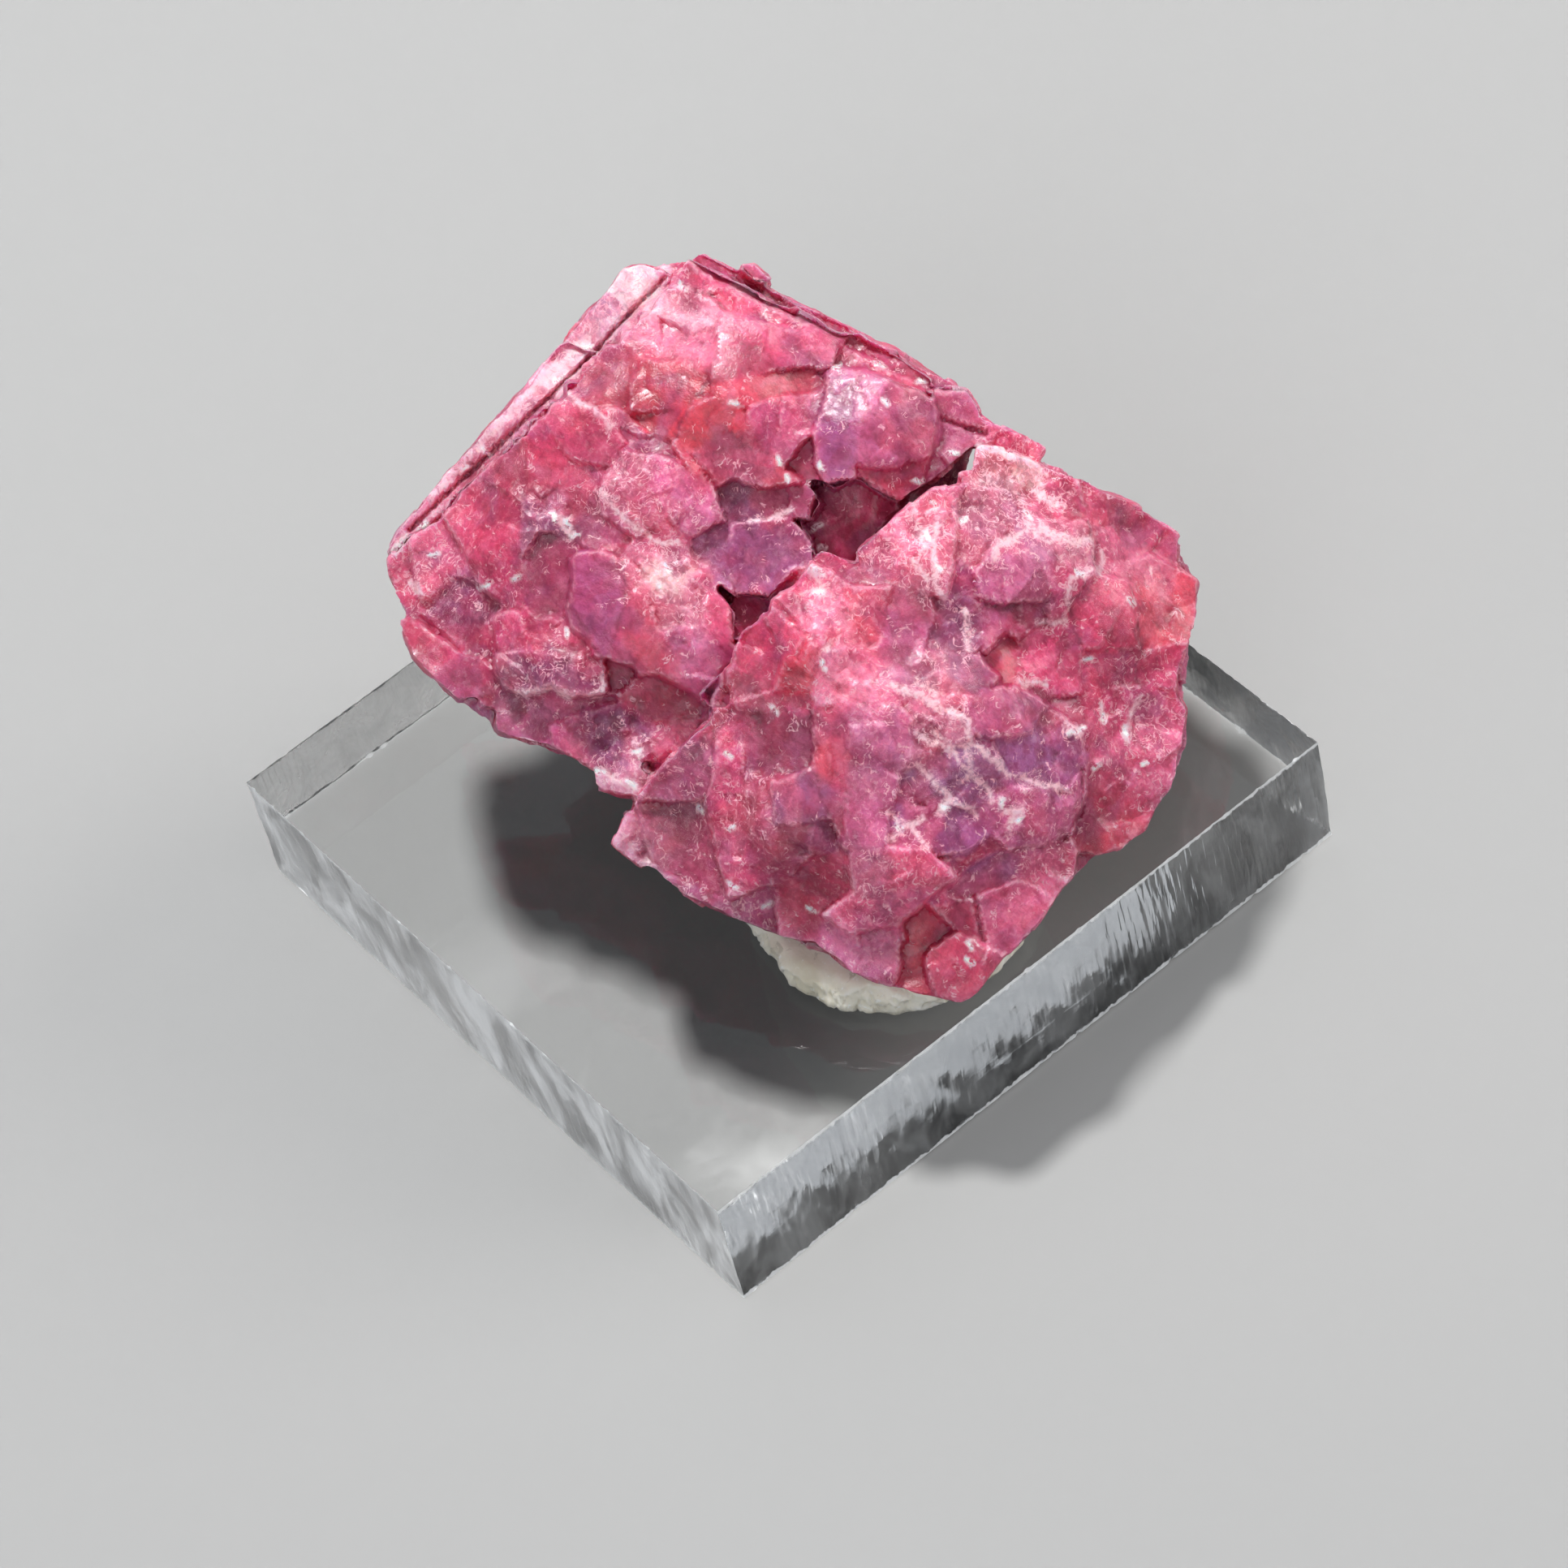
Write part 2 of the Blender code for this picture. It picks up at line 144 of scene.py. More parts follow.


# Patches of the front: side, outline, lift over the smooth shape (mm), tilt
# (mm per 100 px right, down), tint, cell size (px), relief (mm), frost and painted sheen (paler colour), clear
PATCHES = [
    # ---- upper crystal: rims
    # painted highlight: the top lobe is tinted near white, for its frost and for the light falling on it
    ("A", [(770, 333), (792, 327), (822, 337), (800, 362), (760, 402), (735, 432), (700, 427),
           (695, 420), (730, 385)], -2.2, (0.5, 0.6), "white_and_highlight", 60, 0.04, 0.8, 0.1),
    ("A", [(697, 420), (735, 432), (700, 473), (650, 520), (608, 567), (560, 607), (522, 650),
           (490, 668), (476, 682), (490, 655), (540, 600), (590, 540), (650, 480)],
     -1.5, (0.4, 0.5), "frost_and_sheen", 34, 0.06, 0.6, 0.1),
    ("A", [(862, 312), (900, 333), (1000, 389), (1100, 433), (1185, 478), (1160, 482),
           (1090, 452), (1000, 402), (890, 345), (850, 322)], -1.6, (0.0, 3.2), "wine", 40, 0.05, 0.1, 0.4),
    ("A", [(828, 350), (850, 320), (890, 340), (1000, 400), (1045, 418), (1032, 436),
           (1000, 412), (895, 384), (880, 368), (850, 354)], -0.4, (0.2, 2.0), "rose", 30, 0.10, 0.2, 0.3),
    ("A", [(1034, 412), (1060, 410), (1150, 468), (1140, 480), (1070, 462), (1030, 448)],
     -0.7, (0.0, 2.0), "raspberry", 24, 0.14, 0.15, 0.3),
    ("A", [(912, 326), (930, 325), (950, 345), (930, 345)], -1.0, (0, 0), "pink", 60, 0.02, 0.4, 0.3),
    # ---- upper crystal: top and middle
    ("A", [(822, 356), (842, 350), (880, 368), (893, 381), (876, 404), (850, 410), (826, 398),
           (800, 390), (812, 370)], 0.25, (0.5, 1.2), "frost_and_sheen", 46, 0.05, 0.5, 0.2),
    ("A", [(800, 390), (826, 398), (850, 410), (876, 404), (884, 430), (872, 460), (830, 446),
           (790, 440), (768, 424), (782, 404)], 0.15, (0.4, 0.9), "pink", 44, 0.06, 0.3, 0.3),
    ("A", [(890, 384), (950, 400), (952, 425), (1000, 452), (962, 455), (930, 462), (900, 478),
           (874, 468), (884, 430)], 0.3, (0.2, 0.7), "rose", 70, 0.03, 0.02, 0.4),
    ("A", [(950, 400), (1000, 408), (1034, 428), (1020, 446), (1000, 453), (952, 426)],
     0.45, (0.2, 1.1), "pink", 60, 0.03, 0.25, 0.4),
    ("A", [(790, 440), (830, 446), (872, 461), (872, 476), (850, 500), (832, 540), (804, 530),
           (775, 500), (780, 462)], 0.2, (0.8, 0.7), "red", 60, 0.05, 0.03, 0.4),
    ("A", [(746, 425), (778, 425), (800, 450), (800, 480), (770, 500), (722, 495), (716, 468)],
     0.2, (0.4, 0.9), "raspberry", 70, 0.03, 0.05, 0.6),
    ("A", [(872, 470), (930, 462), (1000, 455), (1014, 476), (960, 490), (905, 500), (882, 494)],
     0.35, (0.5, 0.2), "coral", 44, 0.06, 0.1, 0.5),
    ("A", [(850, 500), (884, 494), (905, 502), (928, 520), (945, 556), (900, 552), (850, 562),
           (832, 540)], 0.25, (0.2, 0.6), "red", 36, 0.09, 0.1, 0.5),
    ("A", [(930, 502), (962, 490), (1015, 476), (1012, 502), (1000, 532), (968, 570), (946, 556),
           (922, 520)], 0.35, (-0.2, 0.5), "mauve", 34, 0.08, 0.3, 0.3),
    ("A", [(832, 542), (850, 562), (900, 552), (945, 556), (972, 576), (985, 592), (962, 602),
           (936, 600), (906, 590), (884, 602), (858, 588)], 0.4, (0.1, 0.3), "coral", 40, 0.09, 0.15, 0.4),
    ("A", [(1000, 538), (1004, 576), (1010, 592), (986, 592), (967, 576), (980, 555)],
     -0.5, (1.6, 0.4), "wine", 60, 0.02, 0.0, 0.2),
    ("A", [(1003, 540), (1020, 482), (1030, 452), (1048, 458), (1056, 520), (1052, 590),
           (1030, 602), (1010, 592)], 0.6, (-0.1, 0.2), "violet", 110, 0.02, 0.05, 0.5),
    ("A", [(1048, 457), (1066, 460), (1135, 480), (1150, 496), (1157, 516), (1160, 535),
           (1150, 562), (1104, 578), (1060, 575), (1054, 520)], 0.6, (-0.1, 0.2), "mauve", 110, 0.015, 0.1, 0.4),
    ("A", [(1054, 576), (1104, 578), (1146, 566), (1132, 600), (1106, 620), (1084, 610),
           (1060, 592)], 0.5, (-0.5, 0.9), "crimson", 70, 0.03, 0.1, 0.5),
    ("A", [(1150, 478), (1190, 480), (1204, 500), (1213, 532), (1158, 516)],
     0.1, (-2.2, 0.8), "pink", 90, 0.01, 0.3, 0.3),
    ("A", [(1157, 516), (1213, 533), (1196, 552), (1176, 562), (1150, 592), (1130, 602),
           (1150, 562)], 0.0, (-1.2, 0.9), "mauve", 40, 0.05, 0.2, 0.3),
    # ---- upper crystal: recess by the cleft
    ("A", [(884, 604), (906, 592), (936, 600), (966, 602), (975, 612), (970, 630), (925, 640),
           (900, 640)], -0.5, (0.2, 0.4), "greyviolet", 50, 0.04, 0.1, 0.4),
    ("A", [(970, 605), (1000, 600), (1013, 620), (1000, 642), (984, 640)],
     -0.2, (0.3, 0.2), "violet", 60, 0.02, 0.1, 0.4),
    ("A", [(846, 664), (886, 650), (926, 641), (985, 644), (1000, 664), (1000, 688), (970, 692),
           (944, 738), (906, 732), (870, 706), (854, 690)], -0.2, (0.1, 0.5), "greyviolet", 60, 0.05, 0.15, 0.4),
    ("A", [(1008, 600), (1060, 592), (1106, 620), (1054, 684), (1010, 682), (998, 664),
           (984, 642), (1002, 642)], -1.5, (0.2, 0.8), "dark", 44, 0.06, 0.0, 0.1),
    # ---- upper crystal: speckled middle
    ("A", [(832, 572), (858, 588), (884, 602), (886, 640), (848, 664), (820, 640), (800, 600),
           (806, 566)], 0.15, (0.5, 0.4), "mauve", 34, 0.10, 0.25, 0.3),
    ("A", [(770, 560), (806, 566), (800, 600), (822, 640), (780, 664), (748, 640), (736, 606)],
     0.2, (0.3, 0.4), "greypink", 22, 0.14, 0.45, 0.2),
    ("A", [(780, 664), (822, 640), (848, 664), (854, 690), (828, 682), (800, 694), (768, 684)],
     0.1, (0.3, 0.7), "pink", 26, 0.10, 0.4, 0.2),
    ("A", [(724, 642), (748, 640), (780, 664), (768, 684), (744, 680), (720, 668)],
     -0.1, (0.4, 0.9), "raspberry", 40, 0.06, 0.1, 0.4),
    ("A", [(796, 694), (828, 682), (850, 690), (852, 716), (836, 734), (806, 732), (794, 712)],
     0.25, (0.2, 0.3), "cream", 16, 0.16, 0.75, 0.1),
    # ---- upper crystal: left
    ("A", [(700, 487), (722, 500), (752, 527), (765, 545), (745, 575), (700, 566), (668, 515)],
     0.15, (0.9, 0.7), "rose", 60, 0.04, 0.15, 0.4),
    ("A", [(642, 545), (668, 515), (700, 566), (690, 598), (646, 600)],
     0.1, (1.1, 0.5), "hot", 60, 0.04, 0.1, 0.4),
    ("A", [(700, 566), (745, 575), (742, 600), (720, 612), (690, 598)],
     -0.1, (0.8, 0.6), "rose", 30, 0.10, 0.2, 0.3),
    ("A", [(575, 600), (610, 566), (642, 545), (646, 600), (640, 650), (600, 640)],
     0.1, (1.3, 0.4), "raspberry", 60, 0.04, 0.1, 0.5),
    ("A", [(548, 640), (575, 600), (600, 640), (638, 650), (640, 690), (600, 695), (570, 680)],
     0.15, (1.1, 0.2), "hot", 54, 0.05, 0.15, 0.4),
    ("A", [(504, 662), (545, 642), (570, 680), (566, 704), (532, 740), (517, 735), (509, 702)],
     0.1, (0.8, 0.3), "pink", 40, 0.07, 0.45, 0.2),
    ("A", [(646, 600), (690, 598), (702, 640), (700, 662), (664, 656), (640, 688)],
     -0.05, (0.8, 0.8), "greyviolet", 18, 0.16, 0.4, 0.3),
    ("A", [(700, 600), (720, 612), (742, 602), (736, 640), (716, 668), (700, 660)],
     -0.3, (0.6, 0.6), "wine", 34, 0.10, 0.1, 0.4),
    ("A", [(640, 690), (664, 656), (702, 662), (706, 692), (702, 740), (662, 762), (646, 722)],
     -0.2, (0.6, 0.4), "wine", 44, 0.08, 0.1, 0.5),
    ("A", [(600, 696), (642, 690), (646, 722), (640, 750), (612, 740), (592, 726)],
     0.0, (0.6, 0.2), "rose", 24, 0.12, 0.3, 0.3),
    ("A", [(530, 740), (554, 712), (592, 726), (612, 742), (600, 764), (572, 790), (540, 775),
           (516, 756)], -0.3, (0.8, 0.5), "dusk", 40, 0.08, 0.2, 0.4),
    ("A", [(478, 690), (503, 664), (509, 702), (517, 736), (536, 742), (516, 757), (542, 776),
           (578, 806), (545, 786), (505, 762), (486, 728)], -0.3, (1.0, 0.2), "rose", 40, 0.06, 0.3, 0.4),
    ("A", [(538, 774), (600, 770), (614, 800), (606, 820), (576, 806)],
     -0.4, (0.9, 0.4), "raspberry", 60, 0.03, 0.05, 0.6),
    ("A", [(492, 763), (520, 772), (562, 796), (606, 818), (600, 832), (592, 842), (600, 848),
           (584, 858), (565, 862), (545, 845), (508, 808)], 0.1, (1.3, 0.2), "rose", 60, 0.05, 0.15, 0.5),
    # ---- upper crystal: violet plate and its neighbours
    ("A", [(703, 690), (745, 680), (770, 692), (770, 740), (756, 790), (745, 815), (710, 780),
           (700, 740)], 0.35, (0.5, 0.3), "plum", 70, 0.03, 0.02, 0.4),
    ("A", [(770, 690), (796, 720), (802, 762), (826, 792), (830, 842), (784, 822), (750, 812),
           (758, 780), (770, 740)], 0.45, (0.0, 0.7), "raspberry", 60, 0.04, 0.04, 0.4),
    ("A", [(806, 732), (836, 734), (852, 716), (870, 730), (860, 770), (812, 776)],
     0.1, (-0.2, 0.5), "greypink", 18, 0.16, 0.5, 0.2),
    ("A", [(812, 776), (860, 770), (884, 790), (880, 840), (866, 864), (832, 842), (826, 794)],
     0.3, (-0.4, 0.4), "mauve", 46, 0.05, 0.15, 0.4),
    ("A", [(852, 716), (870, 706), (902, 758), (905, 802), (884, 822), (882, 790), (862, 768),
           (870, 730)], 0.0, (-1.0, 0.5), "rose", 60, 0.04, 0.1, 0.5),
    ("A", [(904, 732), (944, 740), (930, 768), (906, 790), (900, 758)],
     -1.2, (-0.8, 0.3), "dark", 40, 0.05, 0.0, 0.1),
    # ---- upper crystal: ledge and lower strip
    ("A", [(614, 762), (650, 752), (700, 776), (738, 802), (700, 806), (650, 802), (612, 800)],
     0.25, (0.5, 1.0), "rose", 28, 0.10, 0.2, 0.3),
    ("A", [(610, 806), (650, 800), (700, 805), (742, 812), (750, 848), (740, 856), (702, 861),
           (682, 844), (646, 856), (620, 842)], 0.45, (0.4, 0.3), "dusk", 26, 0.12, 0.4, 0.2),
    ("A", [(744, 812), (780, 822), (776, 845), (750, 850)], -0.7, (0, 0), "dark", 40, 0.03, 0.0, 0.5),
    ("A", [(655, 856), (682, 845), (704, 860), (746, 858), (762, 864), (730, 874), (688, 874)],
     -0.8, (0.3, 0.5), "dark", 30, 0.08, 0.0, 0.5),
    ("A", [(778, 846), (815, 830), (866, 862), (858, 878), (838, 892), (790, 888), (762, 866)],
     -0.2, (0.2, 0.8), "raspberry", 46, 0.05, 0.05, 0.6),
    ("A", [(616, 862), (650, 858), (690, 874), (700, 882), (676, 896), (680, 916), (650, 915),
           (612, 900)], -0.3, (0.6, 0.2), "mauve", 40, 0.08, 0.15, 0.4),
    ("A", [(676, 896), (702, 882), (724, 900), (732, 946), (682, 918)],
     -0.1, (0.5, 0.4), "rose", 30, 0.10, 0.2, 0.4),
    ("A", [(716, 872), (762, 866), (800, 886), (808, 905), (786, 946), (734, 944), (722, 900)],
     0.0, (0.3, 0.5), "greyviolet", 18, 0.14, 0.35, 0.3),
    ("A", [(808, 902), (838, 892), (864, 892), (850, 905), (812, 928), (800, 915)],
     0.1, (0.3, 0.4), "pink", 30, 0.08, 0.3, 0.3),
    ("A", [(736, 944), (786, 944), (802, 958), (782, 982), (760, 975), (736, 968)],
     0.1, (0.2, 0.3), "frost_and_sheen", 11, 0.20, 0.6, 0.3),
    # ---- lower crystal: streaked and frosted faces
    ("B", [(1052, 682), (1106, 634), (1150, 602), (1190, 598), (1180, 620), (1172, 680),
           (1165, 735), (1120, 722), (1080, 702)], 0.2, (-0.2, 0.3), "pink", 50, 0.06, 0.5, 0.2),
    ("B", [(1190, 598), (1245, 604), (1252, 640), (1226, 668), (1206, 700), (1184, 680),
           (1182, 620)], 0.0, (-0.5, 0.4), "greypink", 26, 0.12, 0.45, 0.2),
    ("B", [(1000, 692), (1012, 680), (1080, 702), (1100, 722), (1050, 722), (1018, 702)],
     -0.1, (0.2, 1.6), "rose", 40, 0.06, 0.2, 0.4),
    ("B", [(980, 722), (1000, 694), (1020, 702), (1050, 722), (1050, 790), (1018, 800),
           (996, 786)], 0.25, (0.3, 0.6), "pink", 20, 0.10, 0.42, 0.2),
    ("B", [(952, 740), (980, 722), (996, 786), (985, 812), (968, 806), (948, 776)],
     0.2, (0.8, 0.4), "hot", 50, 0.05, 0.1, 0.5),
    ("B", [(1050, 722), (1100, 722), (1086, 780), (1070, 800), (1050, 792)],
     0.35, (0.3, 0.2), "coral", 50, 0.05, 0.2, 0.4),
    ("B", [(1100, 722), (1142, 738), (1150, 762), (1140, 800), (1120, 850), (1090, 832),
           (1084, 786)], 0.25, (0.2, 0.5), "mauve", 50, 0.05, 0.1, 0.5),
    ("B", [(905, 802), (915, 780), (940, 766), (968, 806), (950, 850), (914, 862), (904, 836)],
     -0.1, (1.0, 0.4), "rose", 46, 0.07, 0.2, 0.4),
    ("B", [(968, 806), (996, 788), (1004, 806), (1000, 852), (950, 852)],
     0.3, (0.6, 0.2), "red", 34, 0.08, 0.1, 0.6),
    ("B", [(1004, 804), (1050, 794), (1088, 800), (1126, 836), (1130, 852), (1080, 872),
           (1016, 872), (1000, 852)], 0.25, (0.1, 0.3), "pink", 22, 0.12, 0.22, 0.3),
    ("B", [(905, 870), (915, 862), (950, 852), (1000, 852), (1000, 872), (960, 884)],
     0.1, (0.5, 0.4), "rose", 36, 0.09, 0.2, 0.4),
    # ---- lower crystal: left corner
    ("B", [(865, 893), (905, 870), (884, 900), (878, 950), (866, 976), (836, 988), (784, 984),
           (800, 960), (840, 925)], 0.1, (1.0, 0.2), "mauve", 54, 0.05, 0.2, 0.4),
    ("B", [(784, 990), (836, 990), (868, 996), (884, 1050), (890, 1096), (850, 1090),
           (802, 1062)], 0.1, (1.2, 0.1), "wine", 70, 0.03, 0.1, 0.5),
    ("B", [(884, 900), (905, 872), (918, 900), (916, 960), (918, 1000), (922, 1034), (946, 1086),
           (900, 1106), (884, 1050), (868, 994), (878, 950)], 0.3, (0.9, 0.1), "rose", 30, 0.10, 0.3, 0.3),
    ("B", [(802, 1068), (850, 1091), (900, 1108), (950, 1094), (958, 1152), (900, 1130),
           (840, 1098)], -0.3, (0.6, -0.4), "mauve", 26, 0.12, 0.25, 0.4),
    ("B", [(770, 1000), (782, 996), (804, 1040), (800, 1064), (790, 1070), (757, 1040)],
     -0.6, (0.6, 0.1), "frost_and_sheen", 16, 0.16, 0.55, 0.3),
    # ---- lower crystal: dark violet middle
    ("B", [(908, 880), (960, 884), (1000, 872), (1000, 942), (960, 962), (922, 950)],
     0.0, (0.5, 0.1), "wine", 60, 0.07, 0.1, 0.6),
    ("B", [(922, 950), (950, 958), (952, 1010), (940, 1030), (926, 1030), (918, 1000)],
     0.1, (0.5, 0.0), "greypink", 18, 0.10, 0.4, 0.3),
    ("B", [(952, 960), (1004, 944), (1026, 976), (1024, 1010), (970, 1018), (954, 1010)],
     0.1, (0.4, 0.0), "greyviolet", 80, 0.04, 0.05, 0.6),
    ("B", [(1002, 900), (1014, 906), (1026, 938), (1020, 962), (1010, 970), (1000, 942)],
     0.35, (0.5, 0.0), "coral", 60, 0.02, 0.1, 0.6),
    ("B", [(1000, 872), (1046, 872), (1044, 960), (1038, 1048), (1024, 1010), (1028, 940),
           (1012, 900)], 0.15, (0.4, 0.0), "raspberry", 60, 0.04, 0.1, 0.5),
    ("B", [(1046, 872), (1100, 866), (1128, 900), (1108, 960), (1096, 1002), (1092, 1046),
           (1040, 1046), (1044, 960)], 0.3, (0.2, 0.1), "mauve", 60, 0.05, 0.25, 0.3),
    ("B", [(926, 1032), (970, 1018), (1020, 1012), (1038, 1048), (1000, 1056), (974, 1082),
           (952, 1092), (940, 1062)], 0.0, (0.4, -0.4), "wine", 30, 0.10, 0.15, 0.5),
    ("B", [(956, 1096), (976, 1080), (1002, 1056), (1046, 1050), (1050, 1098), (1012, 1128),
           (1004, 1160), (962, 1156)], 0.1, (0.3, -0.7), "raspberry", 40, 0.08, 0.15, 0.5),
    ("B", [(1040, 1046), (1092, 1048), (1140, 1046), (1170, 1080), (1130, 1110), (1098, 1142),
           (1042, 1150), (1014, 1128), (1052, 1098)], 0.35, (0.2, -0.3), "pink", 50, 0.05, 0.32, 0.3),
    ("B", [(1004, 1160), (1014, 1130), (1042, 1152), (1098, 1144), (1110, 1180), (1104, 1214),
           (1050, 1198)], 0.0, (0.3, -1.0), "mauve", 44, 0.07, 0.2, 0.4),
    # ---- lower crystal: centre right, violet with veins
    ("B", [(1150, 762), (1164, 736), (1206, 748), (1212, 790), (1190, 802), (1142, 802)],
     0.0, (-0.1, 0.5), "dusk", 24, 0.10, 0.2, 0.3),
    ("B", [(1165, 802), (1204, 812), (1228, 832), (1200, 856), (1172, 850)],
     0.1, (-0.3, 0.4), "dusk", 60, 0.03, 0.05, 0.5),
    ("B", [(1120, 850), (1142, 802), (1165, 804), (1172, 850), (1190, 862), (1160, 880),
           (1128, 880)], 0.15, (0.0, 0.3), "greypink", 22, 0.12, 0.4, 0.3),
    ("B", [(1190, 858), (1250, 848), (1292, 870), (1270, 900), (1222, 910), (1192, 890)],
     0.25, (-0.4, 0.2), "mauve", 50, 0.04, 0.15, 0.4),
    ("B", [(1128, 882), (1160, 880), (1190, 888), (1196, 910), (1150, 930), (1112, 950)],
     0.25, (-0.1, 0.1), "greypink", 24, 0.11, 0.4, 0.3),
    ("B", [(1292, 870), (1330, 900), (1334, 950), (1300, 980), (1240, 960), (1222, 912),
           (1270, 900)], 0.2, (-0.6, 0.0), "violet", 40, 0.07, 0.15, 0.4),
    ("B", [(1112, 952), (1150, 930), (1196, 912), (1222, 914), (1240, 960), (1200, 1000),
           (1150, 990), (1098, 1000)], 0.2, (-0.2, -0.1), "greyviolet", 36, 0.08, 0.15, 0.5),
    ("B", [(1098, 1002), (1150, 992), (1200, 1002), (1218, 1022), (1190, 1046), (1140, 1044),
           (1094, 1042)], 0.2, (-0.1, -0.3), "violet", 40, 0.06, 0.15, 0.4),
    ("B", [(1200, 1000), (1240, 962), (1300, 982), (1334, 950), (1332, 1000), (1312, 1034),
           (1250, 1048), (1218, 1022)], 0.1, (-0.6, -0.4), "mauve", 26, 0.12, 0.3, 0.3),
    # ---- lower crystal: upper right
    ("B", [(1206, 550), (1238, 556), (1290, 576), (1276, 600), (1246, 602), (1198, 596)],
     0.2, (-1.4, 0.8), "cream", 20, 0.13, 0.6, 0.1),
    ("B", [(1290, 576), (1330, 592), (1340, 640), (1290, 640), (1262, 610), (1276, 600)],
     0.0, (-1.3, 0.8), "rose", 26, 0.12, 0.35, 0.3),
    ("B", [(1330, 590), (1400, 624), (1452, 660), (1450, 700), (1400, 668), (1350, 645)],
     -0.1, (-1.2, 0.9), "rose", 60, 0.05, 0.15, 0.5),
    ("B", [(1350, 645), (1400, 668), (1450, 702), (1440, 730), (1390, 716), (1352, 700)],
     0.1, (-1.1, 0.7), "pink", 40, 0.07, 0.2, 0.4),
    ("B", [(1262, 610), (1290, 640), (1342, 642), (1350, 700), (1320, 700), (1280, 664),
           (1256, 650)], 0.1, (-0.9, 0.6), "greypink", 20, 0.14, 0.55, 0.2),
    ("B", [(1206, 702), (1228, 668), (1256, 652), (1282, 666), (1300, 690), (1290, 740),
           (1240, 745), (1212, 730)], 0.2, (-0.6, 0.6), "mauve", 60, 0.05, 0.15, 0.4),
    ("B", [(1300, 690), (1350, 702), (1344, 712), (1316, 750), (1290, 765), (1284, 742)],
     0.3, (-0.7, 0.4), "rose", 26, 0.09, 0.35, 0.3),
    ("B", [(1206, 748), (1240, 746), (1290, 742), (1288, 766), (1250, 780), (1216, 800)],
     -0.2, (-0.6, 0.8), "rose", 36, 0.08, 0.15, 0.4),
    ("B", [(1215, 808), (1240, 780), (1252, 800), (1254, 836), (1240, 842)],
     -0.85, (0, 0), "crimson", 40, 0.02, 0.0, 0.4),
    ("B", [(1252, 802), (1284, 768), (1312, 770), (1334, 800), (1330, 852), (1290, 860),
           (1254, 840)], 0.0, (-0.7, 0.3), "rose", 34, 0.09, 0.2, 0.4),
    ("B", [(1316, 752), (1346, 712), (1400, 720), (1404, 800), (1350, 800), (1320, 780)],
     0.15, (-0.8, 0.4), "hot", 50, 0.06, 0.15, 0.5),
    ("B", [(1392, 716), (1452, 702), (1476, 714), (1470, 760), (1464, 790), (1404, 800)],
     0.1, (-1.2, 0.3), "coral", 44, 0.07, 0.15, 0.5),
    ("B", [(1334, 802), (1404, 802), (1462, 792), (1446, 846), (1400, 840), (1330, 852)],
     0.0, (-1.0, 0.4), "rose", 36, 0.09, 0.2, 0.4),
    # ---- lower crystal: right lobes
    ("B", [(1292, 864), (1332, 854), (1400, 842), (1432, 848), (1396, 868), (1390, 900),
           (1340, 910), (1330, 898)], 0.1, (-0.8, 0.0), "rose", 20, 0.14, 0.4, 0.3),
    ("B", [(1398, 868), (1444, 848), (1462, 872), (1456, 920), (1420, 944), (1396, 920)],
     0.2, (0.0, 0.2), "pink", 40, 0.07, 0.4, 0.3),
    ("B", [(1340, 912), (1390, 902), (1398, 922), (1424, 946), (1452, 922), (1448, 958),
           (1424, 996), (1384, 956), (1352, 944)], 0.1, (-1.0, -0.3), "pink", 34, 0.08, 0.25, 0.4),
    ("B", [(1346, 948), (1384, 958), (1422, 1000), (1412, 1024), (1380, 1044), (1350, 1000)],
     0.0, (-1.2, -0.6), "raspberry", 54, 0.05, 0.15, 0.6),
    ("B", [(1326, 1008), (1346, 984), (1356, 1010), (1380, 1044), (1350, 1054), (1328, 1040)],
     -0.2, (-0.6, -0.6), "crimson", 60, 0.03, 0.05, 0.7),
    # ---- lower crystal: lower right and end
    ("B", [(1250, 1050), (1312, 1034), (1326, 1050), (1322, 1076), (1300, 1108), (1280, 1088),
           (1258, 1080)], 0.1, (-0.7, -0.9), "pink", 24, 0.11, 0.3, 0.3),
    ("B", [(1172, 1098), (1204, 1070), (1256, 1052), (1258, 1080), (1200, 1104)],
     -0.3, (-0.3, -0.4), "greyviolet", 50, 0.05, 0.1, 0.5),
    ("B", [(1200, 1104), (1258, 1082), (1300, 1108), (1270, 1150), (1244, 1176), (1210, 1160)],
     0.1, (-0.5, -0.9), "pink", 80, 0.02, 0.15, 0.4),
    ("B", [(1176, 1116), (1200, 1104), (1212, 1160), (1176, 1144)],
     0.0, (-0.2, -0.6), "hot", 80, 0.02, 0.05, 0.5),
    ("B", [(1118, 1140), (1140, 1122), (1172, 1150), (1140, 1166), (1124, 1160)],
     -0.85, (0, 0), "crimson", 40, 0.02, 0.0, 0.4),
    ("B", [(1138, 1178), (1170, 1152), (1204, 1156), (1240, 1176), (1206, 1222), (1186, 1237),
           (1150, 1228)], 0.15, (-0.3, -0.8), "hot", 46, 0.06, 0.15, 0.6),
    ("B", [(1104, 1214), (1112, 1176), (1124, 1160), (1140, 1168), (1138, 1182), (1150, 1228),
           (1128, 1224)], -0.6, (0.2, -0.8), "red", 44, 0.05, 0.05, 0.6),
    # ---- step piece between the two
    ("A", [(1210, 514), (1250, 534), (1285, 552), (1280, 566), (1246, 562), (1212, 552),
           (1200, 548)], 0.0, (-1.2, 0.6), "rose", 26, 0.12, 0.35, 0.3),
]

